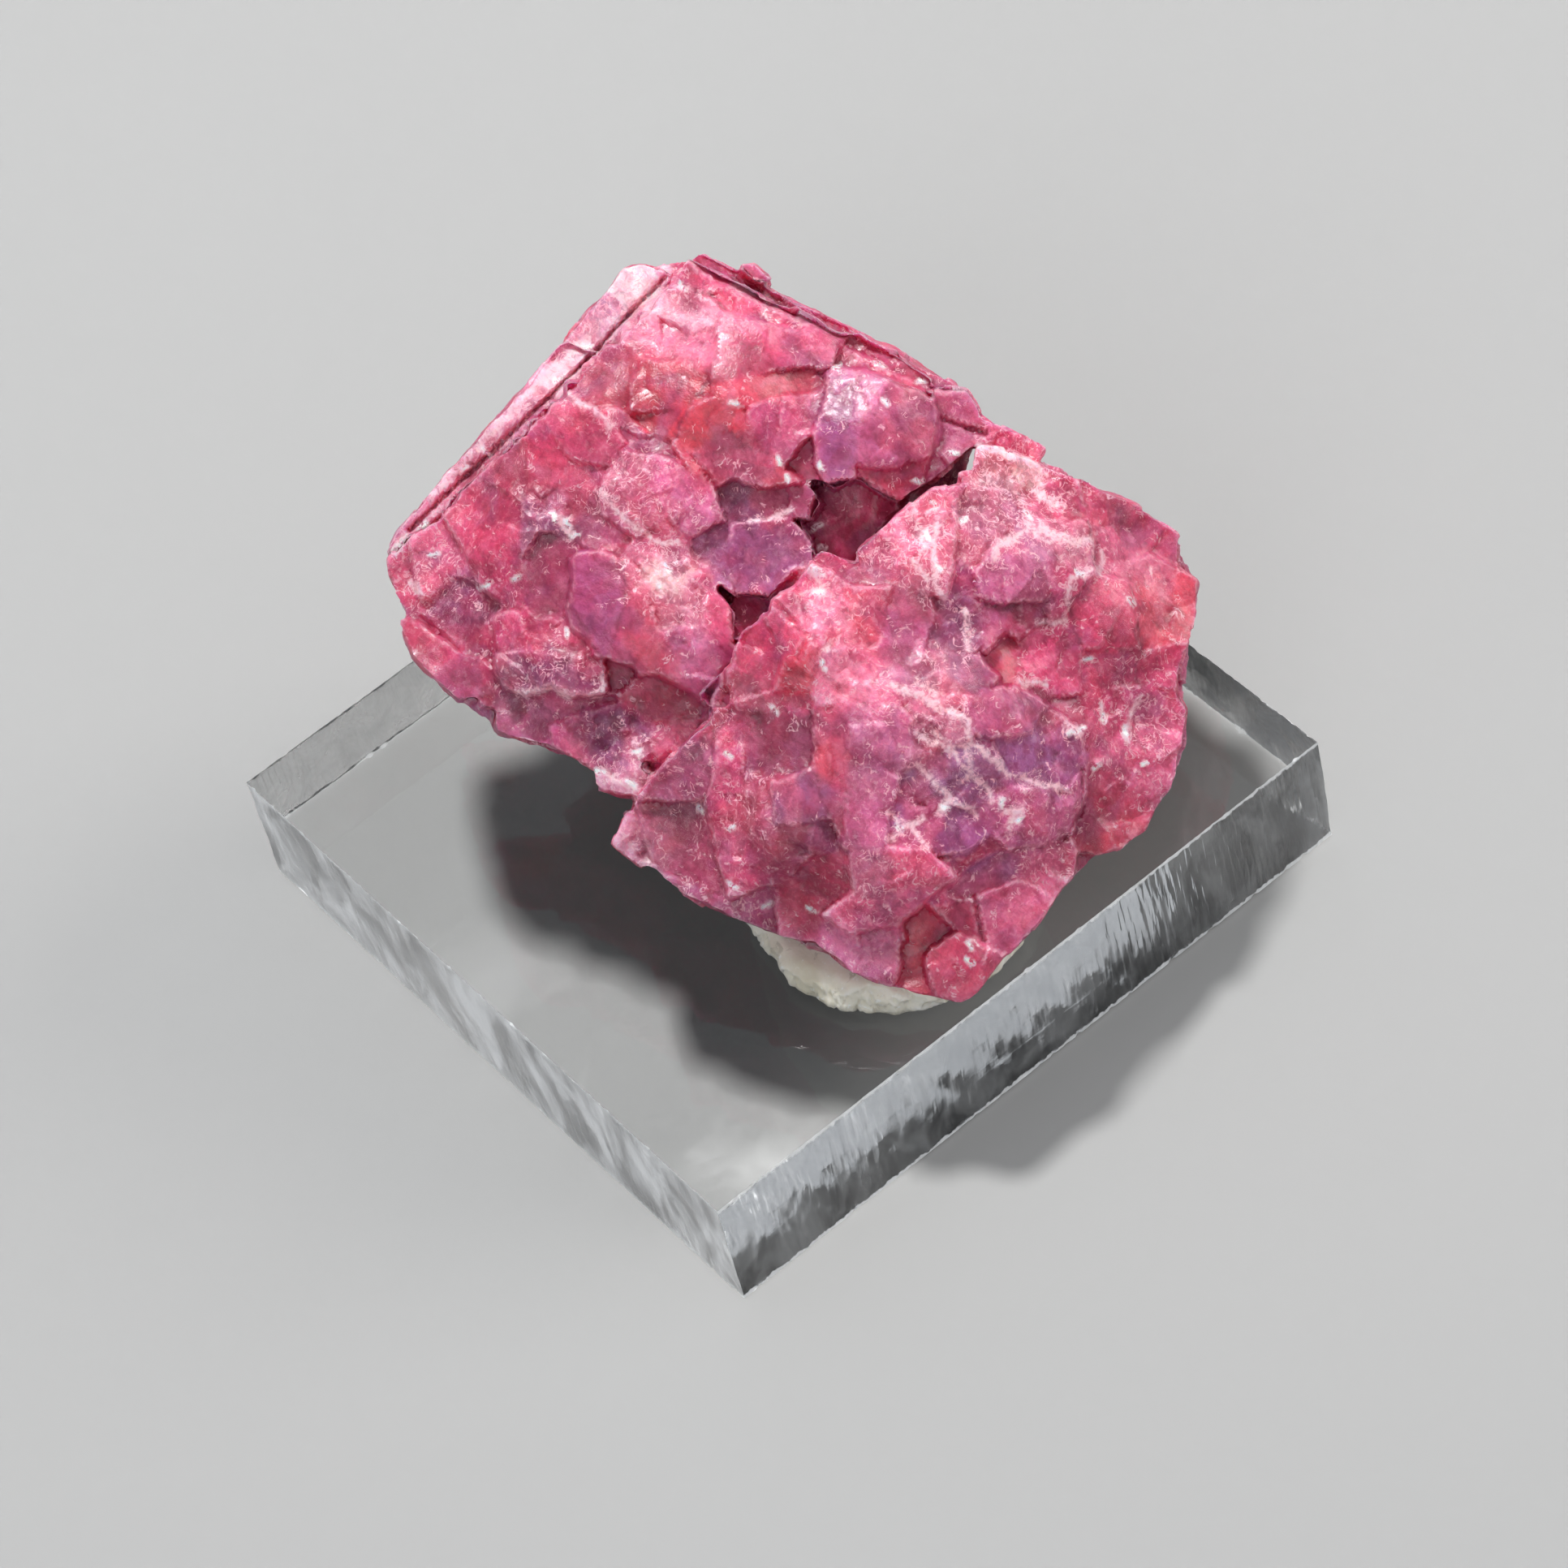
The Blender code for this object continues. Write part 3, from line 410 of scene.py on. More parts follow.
# The two main crystals behind the mosaic: widest outline, front and back
MAIN = {
    "A": [(860, 312, 3.0), (1040, 411, 3.2), (1212, 512, 3.2), (1180, 640, 4.5),
          (782, 336, 1.0), (640, 487, 1.0), (480, 688, 1.0), (497, 762, 1.6),
          (562, 862, 2.8), (616, 904, 3.6), (735, 950, 4.6),
          (862, 352, 5.2), (1035, 440, 5.6), (1160, 500, 5.6), (1130, 600, 6.4),
          (820, 372, 4.8), (660, 560, 4.2), (540, 690, 2.8), (640, 860, 4.8),
          (760, 900, 6.0), (900, 840, 7.2), (1000, 700, 6.6),
          (900, 430, -3.6), (1120, 570, -3.8), (760, 560, -5.6), (640, 700, -3.0),
          (700, 820, -2.2), (900, 700, -8.6), (1000, 860, -4.0)],
    "B": [(1284, 560, 3.6), (1454, 660, 3.4), (1477, 706, 4.2), (1466, 790, 5.0),
          (1460, 880, 5.6), (1448, 960, 6.2), (1418, 1004, 6.6), (1340, 1054, 7.6),
          (1268, 1150, 9.4), (1186, 1236, 11.4), (1105, 1214, 10.4),
          (962, 1160, 8.8), (792, 1068, 7.6), (760, 1040, 7.0), (772, 1000, 6.2),
          (800, 900, 5.0),
          (1200, 600, 8.2), (1400, 680, 5.2), (1420, 840, 6.4), (1400, 960, 6.8),
          (1300, 1040, 9.0), (1230, 1130, 10.4), (1100, 1150, 11.0),
          (960, 1120, 9.4), (830, 1040, 8.0), (880, 910, 9.4), (960, 780, 10.0),
          (1050, 700, 9.8),
          (1180, 640, -5.0), (1320, 760, -4.2), (1330, 860, -1.0), (1240, 980, 2.0),
          (1100, 1080, 3.4), (960, 1040, 2.0), (900, 940, -1.0), (980, 800, -5.5),
          (1120, 760, -6.5)],
}

KEY = (0.05, 0.15, 0.41)             # where the main lamp stands
# painted highlights: white glints painted into the colour of broken edges, with lower roughness there: picture
# position, radius in pixels
PAINTED_GLINTS = [(724, 426, 5), (690, 467, 6), (598, 556, 5), (575, 576, 5), (521, 646, 5), (534, 682, 5),
          (597, 720, 7), (637, 712, 4), (683, 637, 5), (700, 645, 4), (709, 660, 4), (698, 779, 4),
          (841, 353, 5), (945, 368, 5), (1083, 450, 5), (1135, 470, 4), (1090, 495, 4), (1030, 452, 4),
          (904, 497, 4), (960, 568, 5), (970, 590, 4), (1012, 575, 4), (1007, 650, 6), (1012, 675, 4),
          (1132, 592, 5), (1175, 558, 4), (1267, 635, 5), (1187, 640, 4), (1330, 705, 5), (1340, 812, 5),
          (1393, 742, 4), (1325, 900, 8), (1360, 885, 4), (1388, 900, 5), (1412, 940, 5), (1352, 945, 4),
          (1195, 1165, 5), (1195, 1185, 5), (1015, 820, 5), (1010, 705, 6), (1010, 728, 5), (955, 875, 4),
          (897, 930, 4), (900, 1020, 4), (903, 1090, 5), (945, 1115, 5), (1000, 1120, 5), (1110, 1022, 6),
          (1165, 995, 5), (1235, 990, 5), (1256, 1010, 4), (863, 998, 4), (740, 950, 5), (778, 965, 5),
          (785, 925, 4), (822, 700, 5), (812, 722, 4), (1150, 622, 6), (1143, 660, 5), (1158, 700, 5)]
# narrow cuts along edges: width in pixels, depth in mm, points
GROOVES = [
    (2.2, 0.38, [(820, 340), (778, 384), (735, 432), (690, 476), (600, 562), (505, 652)]),
    (1.8, 0.12, [(866, 330), (940, 360), (1030, 402), (1130, 452), (1180, 478)]),
    (1.6, 0.10, [(880, 345), (950, 374), (1040, 416)]),
    (1.6, 0.10, [(870, 318), (960, 352), (1070, 408), (1160, 456)]),
    (2.5, 0.22, [(1158, 516), (1213, 534)]),
    (2.0, 0.15, [(850, 562), (884, 602)]),
    (2.5, 0.25, [(1334, 950), (1332, 1000), (1312, 1034)]),
    (2.0, 0.18, [(1200, 1104), (1212, 1160)]),
    (2.0, 0.15, [(952, 740), (996, 786), (985, 812)]),
]
# white veins in the lower crystal's front, and bright edge lines painted as highlights: width, points
VEINS_AND_EDGE_HIGHLIGHTS = [
    (4.5, [(722, 418), (655, 482), (585, 552), (532, 616)]),
    (3.0, [(500, 655), (486, 682)]),
    (3.2, [(1282, 648), (1300, 662), (1322, 668), (1345, 664)]),
    (2.2, [(1226, 692), (1230, 672), (1248, 660), (1268, 655)]),
    (2.0, [(1352, 706), (1362, 690), (1356, 678)]),
    (2.8, [(1208, 552), (1230, 556), (1250, 562)]),
    (2.0, [(1262, 566), (1292, 582)]),
    (2.0, [(1280, 590), (1288, 612), (1310, 622)]),
    (2.0, [(1315, 738), (1322, 716), (1342, 702)]),
    (1.6, [(1190, 755), (1194, 800)]),
    (2.2, [(1388, 914), (1392, 882), (1404, 862)]),
    (2.0, [(1356, 870), (1362, 888)]),
    (1.5, [(1256, 838), (1290, 846)]),
    (2.2, [(690, 636), (698, 652), (710, 662)]),
    (2.4, [(744, 946), (758, 964), (782, 974)]),
    (2.0, [(786, 916), (790, 936)]),
    (1.8, [(744, 830), (744, 848), (728, 856)]),
    (2.0, [(508, 716), (520, 734)]),
    (2.2, [(1095, 845), (1120, 855), (1160, 870), (1190, 888), (1195, 915), (1215, 930), (1240, 952)]),
    (1.6, [(1160, 870), (1150, 852), (1128, 842)]),
    (1.8, [(1128, 905), (1160, 920), (1192, 918)]),
    (1.6, [(1192, 918), (1196, 945), (1190, 962)]),
    (2.4, [(1130, 942), (1150, 962), (1172, 985), (1200, 1002)]),
    (2.2, [(1172, 985), (1160, 992), (1158, 1002)]),
    (2.6, [(1100, 1032), (1116, 1018), (1140, 1010)]),
    (2.4, [(1236, 1002), (1262, 996)]),
    (2.4, [(1240, 1020), (1252, 1004)]),
    (2.6, [(1000, 700), (1012, 716), (1008, 732)]),
    (2.0, [(1016, 800), (1024, 790)]),
    (2.0, [(1316, 895), (1330, 902)]),
    (1.2, [(1240, 950), (1275, 962), (1318, 975)]),
    (1.0, [(1150, 900), (1180, 935), (1225, 985)]),
    (1.6, [(700, 487), (726, 505), (752, 527)]),
    (1.4, [(1226, 690), (1232, 672), (1250, 665), (1270, 652)]),
    (1.4, [(1275, 605), (1300, 625)]),
    (1.3, [(1280, 770), (1310, 765)]),
    (1.3, [(1316, 745), (1320, 715), (1345, 700)]),
    (1.1, [(1262, 640), (1290, 668), (1312, 660)]),
    (1.2, [(640, 855), (682, 846), (702, 860)]),
    (1.3, [(1092, 1000), (1120, 1020), (1140, 1044)]),
    (1.1, [(740, 606), (770, 640), (800, 664), (836, 668)]),
    (1.8, [(1155, 640), (1150, 680), (1155, 725), (1165, 735)]),
    (1.8, [(1125, 690), (1145, 715)]),
    (1.8, [(1135, 650), (1140, 680)]),
    (1.6, [(1130, 610), (1122, 640)]),
    (1.4, [(925, 640), (950, 637), (972, 630)]),
]

# thin dark seams: width, points
SEAMS = [
    (1.6, [(822, 340), (778, 384), (735, 432), (690, 476), (600, 562), (505, 652)]),
    (1.2, [(842, 350), (880, 366), (896, 384)]),
    (0.8, [(900, 345), (960, 372), (1034, 412)]),
    (0.7, [(900, 340), (1000, 392), (1100, 440)]),
    (1.0, [(945, 350), (1060, 404), (1150, 452)]),
    (1.0, [(850, 562), (900, 552), (945, 556), (972, 576)]),
    (1.0, [(832, 540), (850, 500), (872, 470)]),
    (1.1, [(703, 690), (700, 740), (745, 815)]),
    (1.1, [(770, 690), (770, 740), (750, 812)]),
    (1.3, [(905, 870), (884, 900), (866, 990), (890, 1096)]),
    (1.1, [(1000, 872), (1000, 942), (1024, 1010), (1038, 1048)]),
    (1.3, [(1334, 950), (1332, 1000), (1312, 1034), (1250, 1050), (1172, 1098)]),
    (1.3, [(1176, 1116), (1200, 1104), (1212, 1160)]),
    (1.1, [(1206, 748), (1240, 746), (1290, 742)]),
    (1.1, [(1342, 642), (1350, 700), (1316, 750), (1334, 800)]),
    (1.1, [(1392, 716), (1404, 800), (1400, 840)]),
]


# --------------------------------------------------------------- mesh helpers
FLOOR = (UNDERSIDE - TOP) / MM       # the flat underside, mm above the base's top
R3, D3, I3 = (np.array(v) for v in (RIGHT, DOWN, INTO))


def place(u, v, d):
    """Like at(), in mm above the centre of the base's top."""
    t = DIST - d
    return RIGHT * ((u - CENTRE) / FOCAL * t - SHIFT_X) + DOWN * ((v - CENTRE) / FOCAL * t - SHIFT_Y) - INTO * d


def look(p):
    """Picture position and d of many points (mm)."""
    x, y, z = p @ R3 + SHIFT_X, p @ D3 + SHIFT_Y, p @ I3 + DIST
    return CENTRE + FOCAL * x / z, CENTRE + FOCAL * y / z, DIST - z


def inside(poly, u, v):
    hit = False
    for i in range(len(poly)):
        (x1, y1), (x2, y2) = poly[i], poly[i - 1]
        if (y1 > v) != (y2 > v) and u < (x2 - x1) * (v - y1) / (y2 - y1) + x1:
            hit = not hit
    return hit


def outline_distance(poly, u, v):
    """Distance of many picture points to an outline, negative inside it."""
    best = np.full(u.shape, 1e9)
    odd = np.zeros(u.shape, dtype=bool)
    for i in range(len(poly)):
        (x1, y1), (x2, y2) = poly[i - 1], poly[i]
        ex, ey = x2 - x1, y2 - y1
        t = np.clip(((u - x1) * ex + (v - y1) * ey) / max(ex * ex + ey * ey, 1e-6), 0, 1)
        best = np.minimum(best, (u - x1 - t * ex) ** 2 + (v - y1 - t * ey) ** 2)
        if y1 != y2:
            odd ^= ((y1 > v) != (y2 > v)) & (u < ex * (v - y1) / ey + x1)
    best = np.sqrt(best)
    return np.where(odd, -best, best)


def line_distance(points, u, v):
    """Distance of many picture points to an open line."""
    best = np.full(u.shape, 1e9)
    for (x1, y1), (x2, y2) in zip(points, points[1:]):
        ex, ey = x2 - x1, y2 - y1
        t = np.clip(((u - x1) * ex + (v - y1) * ey) / max(ex * ex + ey * ey, 1e-6), 0, 1)
        best = np.minimum(best, (u - x1 - t * ex) ** 2 + (v - y1 - t * ey) ** 2)
    return np.sqrt(best)


def smooth_step(a, b, x):
    t = np.clip((x - a) / (b - a), 0, 1)
    return t * t * (3 - 2 * t)


def noises(p, size, seed=0.0, octaves=2):
    """Smooth noise of many points (mm), about -1 to 1, with features of the given size."""
    out = np.empty(len(p))
    offset = Vector((seed * 13.7, seed * 7.1, seed * 3.3))
    for i, q in enumerate(p):
        s = Vector(q) / size + offset
        value, gain = noise.noise(s), 0.5
        for _ in range(octaves - 1):
            s = s * 2.03
            value += noise.noise(s) * gain
            gain *= 0.5
        out[i] = value
    return out


def hull(points, floor=None):
    """Vertices and faces of the convex block around the points, cut flat at floor."""
    for _ in range(2):
        bm = bmesh.new()
        for p in points:
            bm.verts.new(p)
        bmesh.ops.remove_doubles(bm, verts=list(bm.verts), dist=0.012)
        res = bmesh.ops.convex_hull(bm, input=list(bm.verts))
        loose = [e for e in set(res["geom_interior"] + res["geom_unused"])
                 if isinstance(e, bmesh.types.BMVert) and e.is_valid]
        bmesh.ops.delete(bm, geom=loose, context="VERTS")
        if floor is None or not bm.verts or min(v.co.z for v in bm.verts) >= floor - 1e-5:
            break
        if max(v.co.z for v in bm.verts) <= floor + 0.05:
            bm.free()
            return [], []
        bmesh.ops.bisect_plane(bm, geom=list(bm.verts) + list(bm.edges) + list(bm.faces),
                               plane_co=(0, 0, floor), plane_no=(0, 0, -1), clear_outer=True)
        points = [v.co.copy() for v in bm.verts]
        for p in points:
            p.z = max(p.z, floor)
        floor = None
        bm.free()
    bmesh.ops.recalc_face_normals(bm, faces=list(bm.faces))
    bm.verts.index_update()
    result = [v.co.copy() for v in bm.verts], [[v.index for v in f.verts] for f in bm.faces]
    bm.free()
    return result


# ----------------------------------------------- blocks that grew together
rng = random.Random(27)
verts, faces = [], []


def block(points):
    vs, fs = hull(points, FLOOR)
    n = len(verts)
    verts.extend(vs)
    faces.extend([[n + i for i in f] for f in fs])


for side, pts in MAIN.items():
    cu = sum(p[0] for p in pts) / len(pts)
    cv = sum(p[1] for p in pts) / len(pts)
    block([place(cu + (u - cu) * 0.985, cv + (v - cv) * 0.985, d) for u, v, d in pts])

OUTLINE = {
    "A": [(862, 312), (1000, 384), (1185, 478), (1212, 532), (1196, 552), (1130, 602), (1054, 684),
          (944, 740), (905, 802), (866, 866), (850, 905), (802, 958), (735, 944), (612, 900),
          (545, 845), (492, 763), (478, 690), (504, 664), (600, 568), (735, 432), (828, 350)],
    "B": [(1290, 576), (1330, 590), (1452, 660), (1476, 714), (1464, 790), (1462, 872), (1450, 950),
          (1424, 998), (1380, 1044), (1322, 1076), (1244, 1176), (1186, 1237), (1104, 1214),
          (958, 1152), (790, 1070), (770, 1000), (865, 893), (905, 802), (944, 740), (1054, 684),
          (1150, 602), (1206, 550)],
}
BEND = 0.72           # how far a patch follows the smooth shape and not its own plane
planes = []          # of each patch: centre, depth there and tilt
for side, outline, lift, tilt, tint, size, relief, frost_and_sheen, clear in PATCHES:
    control = FRONT_A if side == "A" else FRONT_B
    cu = sum(p[0] for p in outline) / len(outline)
    cv = sum(p[1] for p in outline) / len(outline)
    if lift > -0.9:
        lift = lift * 0.62
    planes.append((cu, cv, front(control, cu, cv) + lift, tilt[0] / 100 * 0.8, tilt[1] / 100 * 0.8))
    pts = []
    for u, v in outline:
        d = front(control, u, v) + (lift if lift < -0.9 else lift * 0.6)
        pts.append(place(u, v, d))
        pts.append(place(cu + (u - cu) * 0.96, cv + (v - cv) * 0.96, d - 3.2))
    block(pts)
# smooth ground under the patches, so that nothing gapes between them
for side, control in (("A", FRONT_A), ("B", FRONT_B)):
    mine = [patch for patch in PATCHES if patch[0] == side]
    us, vs = np.meshgrid(np.arange(470, 1490, 22.0), np.arange(310, 1250, 22.0))
    us, vs = us.ravel(), vs.ravel()
    cover = np.full(us.shape, 1e9)
    deep = np.full(us.shape, 1e9)
    for patch in mine:
        away = outline_distance(patch[1], us, vs)
        cover = np.minimum(cover, away)
        if patch[2] < -0.9:
            deep = np.minimum(deep, away)
    for u, v, c, e in zip(us, vs, cover, deep):
        around_it = outline_distance(OUTLINE[side], np.array([u]), np.array([v]))[0]
        if around_it > -16 or e < 17:
            continue
        block([place(u + x, v + y, front(control, u + x, v + y) - 0.10 - z)
               for x in (-13, 13) for y in (-13, 13) for z in (0, 2.5)])
# steps on the sides and the back: blocks standing a little out of the two main ones
for pts in MAIN.values():
    vs, fs = hull([place(*p) for p in pts], FLOOR)
    middle = sum(vs, Vector()) / len(vs)
    for f in fs:
        a, b, c = (vs[i] for i in f[:3])
        normal = (b - a).cross(c - a)
        size = normal.length / 2
        normal.normalize()
        if normal.dot(INTO) < -0.25 or normal.z < -0.97 or size < 3:
            continue
        for _ in range(int(size / 9) + 1):
            s, t = rng.random(), rng.random()
            if s + t > 1:
                s, t = 1 - s, 1 - t
            p = a + (b - a) * s + (c - a) * t
            axis = (normal + Vector((rng.gauss(0, 1), rng.gauss(0, 1), rng.gauss(0, 1))) * 0.10).normalized()
            across = (Vector((0.25, 0.93, 0.27)).cross(axis)).normalized()
            along = axis.cross(across)
            w, h = rng.uniform(1.2, 3.0), rng.uniform(1.2, 3.4)
            lift = rng.uniform(0.0, 0.45)
            pts2 = []
            for x, y in ((-1, -1), (1, -1), (1, 1), (-1, 1)):
                x, y = x * w + rng.gauss(0, 0.25), y * h + rng.gauss(0, 0.25)
                pts2.append(p + across * x + along * y + axis * lift)
                pts2.append(p + across * x * 0.9 + along * y * 0.9 - axis * 2.2)
            u, v, d = look(np.array([tuple(q) for q in pts2[::2]]))
            if np.minimum(outline_distance(OUTLINE["A"], u, v), outline_distance(OUTLINE["B"], u, v)).max() < -4:
                block(pts2)

mesh = bpy.data.meshes.new("spinel_crystal_fine")
mesh.from_pydata([tuple(v) for v in verts], [], faces)
crystal = bpy.data.objects.new("spinel_crystal_fine", mesh)
bpy.context.scene.collection.objects.link(crystal)
mod = crystal.modifiers.new("grown_together", "REMESH")
mod.mode = "VOXEL"
mod.voxel_size = 0.150
mod.adaptivity = 0.0
dg = bpy.context.evaluated_depsgraph_get()
mesh = bpy.data.meshes.new_from_object(crystal.evaluated_get(dg))
crystal.modifiers.clear()
crystal.data = mesh
bm = bmesh.new()
bm.from_mesh(mesh)
left = set(bm.faces)
shells = []
while left:
    stack = [left.pop()]
    shell = list(stack)
    while stack:
        for e in stack.pop().edges:
            for g in e.link_faces:
                if g in left:
                    left.discard(g)
                    stack.append(g)
                    shell.append(g)
    shells.append(shell)
shells.sort(key=len)
for shell in shells[:-1]:
    bmesh.ops.delete(bm, geom=shell, context="FACES")
bmesh.ops.delete(bm, geom=[v for v in bm.verts if not v.link_faces], context="VERTS")
bm.normal_update()
bm.to_mesh(mesh)
bm.free()

n = len(mesh.vertices)
P = np.empty(n * 3)
mesh.vertices.foreach_get("co", P)
P = P.reshape(-1, 3)
pairs = np.empty(len(mesh.edges) * 2, dtype=np.int32)
mesh.edges.foreach_get("vertices", pairs)
pairs = pairs.reshape(-1, 2)
degree = np.bincount(pairs.ravel(), minlength=n)[:, None]


def around(values):
    """Mean of each vertex's neighbours."""
    total = np.zeros_like(values)
    for c in range(values.shape[1]):
        total[:, c] = np.bincount(pairs[:, 0], values[pairs[:, 1], c], n) \
            + np.bincount(pairs[:, 1], values[pairs[:, 0], c], n)
    return total / degree


N = np.empty(n * 3)
mesh.vertices.foreach_get("normal", N)
N = N.reshape(-1, 3)
for _ in range(3):
    N = N + around(N)
    N /= np.linalg.norm(N, axis=1)[:, None]

# ------------------------------------------------- relief of the mosaic front
U, V, D = look(P)
wu = noises(P, 1.3, 1.0) * 3.2 + noises(P, 0.5, 2.0, 1) * 1.3
wv = noises(P, 1.3, 3.0) * 3.2 + noises(P, 0.5, 4.0, 1) * 1.3
facing = -(N @ I3)
toward = np.where(facing > 0.05)[0]
u, v = U[toward] + wu[toward], V[toward] + wv[toward]
far = np.empty((len(PATCHES), len(toward)))
for i, patch in enumerate(PATCHES):
    far[i] = outline_distance(patch[1], u, v)


def front_many(control, u, v):
    total = weight = 0.0
    for pu, pv, pd in control:
        w = 1.0 / ((pu - u) ** 2 + (pv - v) ** 2 + 900.0) ** 1.5
        total = total + w * pd
        weight = weight + w
    return total / weight


target = {}
seed_no = 0
for side in ("A", "B"):
    index = np.array([i for i, p in enumerate(PATCHES) if p[0] == side])
    near = index[np.argmin(far[index], axis=0)]
    dist = far[near, np.arange(len(toward))]
    depth = np.zeros(len(toward))
    shade = np.zeros(len(toward))
    rel = np.zeros(len(toward))
    total = np.zeros(len(toward))
    smooth = front_many(FRONT_A if side == "A" else FRONT_B, u, v)
    for i in index:
        _, outline, lift, tilt, tint, size, relief, frost_and_sheen, clear = PATCHES[i]
        us = [p[0] for p in outline]
        vs = [p[1] for p in outline]
        step = size * 0.92
        seeds = []
        row = 0
        y = min(vs) - step * rng.random()
        while y < max(vs) + step:
            x = min(us) - step * rng.random() + (row % 2) * step * 0.5
            while x < max(us) + step:
                su, sv = x + rng.uniform(-0.42, 0.42) * step, y + rng.uniform(-0.42, 0.42) * step
                if inside(outline, su, sv):
                    swing = 0.16 + relief * 2.2
                    seeds.append((su, sv, rng.gauss(0, 1) * relief * 0.22, rng.gauss(0, 1) * swing / 100,
                                  rng.gauss(0, 1) * swing / 100, rng.random()))
                x += step
            y += step * 0.9
            row += 1
        cu, cv, cd, tu, tv = planes[i]
        if not seeds:
            seeds = [(cu, cv, 0.0, 0.0, 0.0, rng.random())]
        here = np.where((far[i] < 9) | (near == i))[0]
        if not len(here):
            continue
        s = np.array(seeds)
        x, y = u[here], v[here]
        gap = np.sqrt((x[:, None] - s[None, :, 0]) ** 2 + (y[:, None] - s[None, :, 1]) ** 2)
        share = np.exp(-np.minimum(gap - gap.min(axis=1)[:, None], 60) / 1.3)
        share /= share.sum(axis=1)[:, None]
        d = cd + tu * (x - cu) + tv * (y - cv)
        d = d + (smooth[here] + (lift if lift < -0.9 else lift * 0.62) - d) * BEND
        facets = s[None, :, 2] + s[None, :, 3] * (x[:, None] - s[None, :, 0]) \
            + s[None, :, 4] * (y[:, None] - s[None, :, 1])
        d = d + (share * facets).sum(axis=1)
        own = 1.0 / (1.0 + np.exp(np.clip(far[i][here] / 0.9, -30, 30))) + 1e-9 + (near[here] == i) * 1e-6
        depth[here] += own * d
        shade[here] += own * (share @ s[:, 5])
        rel[here] += own * relief
        total[here] += own
    depth, shade, rel = depth / total, shade / total, rel / total
    target[side] = (near, dist, depth, shade, rel)

gap_a = np.abs(target["A"][2] - D[toward]) + np.maximum(target["A"][1], 0) * 0.08
gap_b = np.abs(target["B"][2] - D[toward]) + np.maximum(target["B"][1], 0) * 0.08
use_b = gap_b < gap_a
pick = [np.where(use_b, b, a) for a, b in zip(target["A"], target["B"])]
near, dist, depth, shade, rel = pick
for width, cut, points in GROOVES:
    depth = depth - cut * smooth_step(width + 3, width * 0.3, line_distance(points, U[toward], V[toward]))
# painted highlights: short strokes at the glint places, painted near white in the material
glint_paint = np.zeros(len(toward))
for gu, gv, size in PAINTED_GLINTS:
    angle = rng.uniform(-0.6, 1.6)
    dx, dy = math.cos(angle) * size * 1.1, math.sin(angle) * size * 1.1
    bend = rng.uniform(-0.5, 0.5)
    stroke = [(gu - dx, gv - dy), (gu + dy * bend, gv - dx * bend), (gu + dx, gv + dy)]
    glint_paint = np.maximum(glint_paint, smooth_step(4.4, 1.0, line_distance(stroke, U[toward], V[toward])))
change = depth - D[toward]
weight = smooth_step(0.10, 0.40, facing[toward]) * smooth_step(9, 3, dist) \
    * smooth_step(1.4, 0.9, change) * smooth_step(-2.6, -1.8, change)
move = np.zeros(n)
move[toward] = change * weight
held = np.zeros(n)
held[toward] = weight
colour_weight = smooth_step(0.05, 0.30, facing[toward]) * smooth_step(13, 5, dist)

# ------------------------------------------------------ relief of the rest
spots = [P[rng.randrange(n)] for _ in range(900)]
tree = kdtree.KDTree(len(spots))
for i, p in enumerate(spots):
    tree.insert(Vector(p), i)
tree.balance()
tilts = [(rng.gauss(0, 0.05), Vector((rng.gauss(0, 1), rng.gauss(0, 1), rng.gauss(0, 1))) * 0.05, rng.random())
         for _ in spots]
rest = np.where(held < 0.99)[0]
rough_move = np.zeros(n)
rest_shade = np.zeros(n)
W3 = np.stack([wu, wv, wu - wv], axis=1) / 30.0
for i in rest:
    q = Vector(P[i] + W3[i])
    co, j, _ = tree.find(q)
    off, lean, rnd = tilts[j]
    rough_move[i] = off + lean.dot(Vector(P[i]) - co)
    rest_shade[i] = rnd
low = smooth_step(FLOOR + 0.15, FLOOR + 0.9, P[:, 2])       # the underside stays flat
under = N[:, 2] < -0.8
low[under & (P[:, 2] < FLOOR + 0.6)] = 0.0

# fracture steps and ripples all over
terrace = noises(P, 1.5, 5.0, 3) * 5.0
whole = np.floor(terrace)
terrace = (whole + smooth_step(0.30, 0.70, terrace - whole)) * 0.022
ripple = noises(P, 0.45, 6.0, 2) * 0.008
relief_all = np.full(n, 0.10)
relief_all[toward] = relief_all[toward] * (1 - weight) + rel * weight
bumps = (terrace + ripple) * (0.5 + 4.0 * relief_all)

ray = P - (-R3 * SHIFT_X - D3 * SHIFT_Y - I3 * DIST)
ray /= np.linalg.norm(ray, axis=1)[:, None]
P = P - ray * (move * low)[:, None]
P = P + N * ((rough_move * (1 - held) + bumps) * low)[:, None]
calm = 0.06 * held[:, None]
P = P + (around(P) - P) * calm          # rounds the finest teeth of the steps
P[:, 2] = np.maximum(P[:, 2], FLOOR)

# ------------------------------------------------------------ colour masks
mesh.vertices.foreach_set("co", P.ravel())
mesh.update()
N2 = np.empty(n * 3)
mesh.vertices.foreach_get("normal", N2)
N2 = N2.reshape(-1, 3)
near1 = around(P)
fine_edge = ((P - near1) * N2).sum(axis=1)
blur = near1
for _ in range(7):
    blur = around(blur)
wide_edge = ((P - blur) * N2).sum(axis=1)
# pale fine ridges: frost and painted highlight on broken edges
ridge_frost_and_highlight = smooth_step(0.012, 0.055, fine_edge)
# painted shade: hollows get a darker colour
recess_shade = smooth_step(-0.02, -0.16, wide_edge)
# pale raised places: frost and painted highlight
raised_frost_and_highlight = smooth_step(0.04, 0.20, wide_edge)

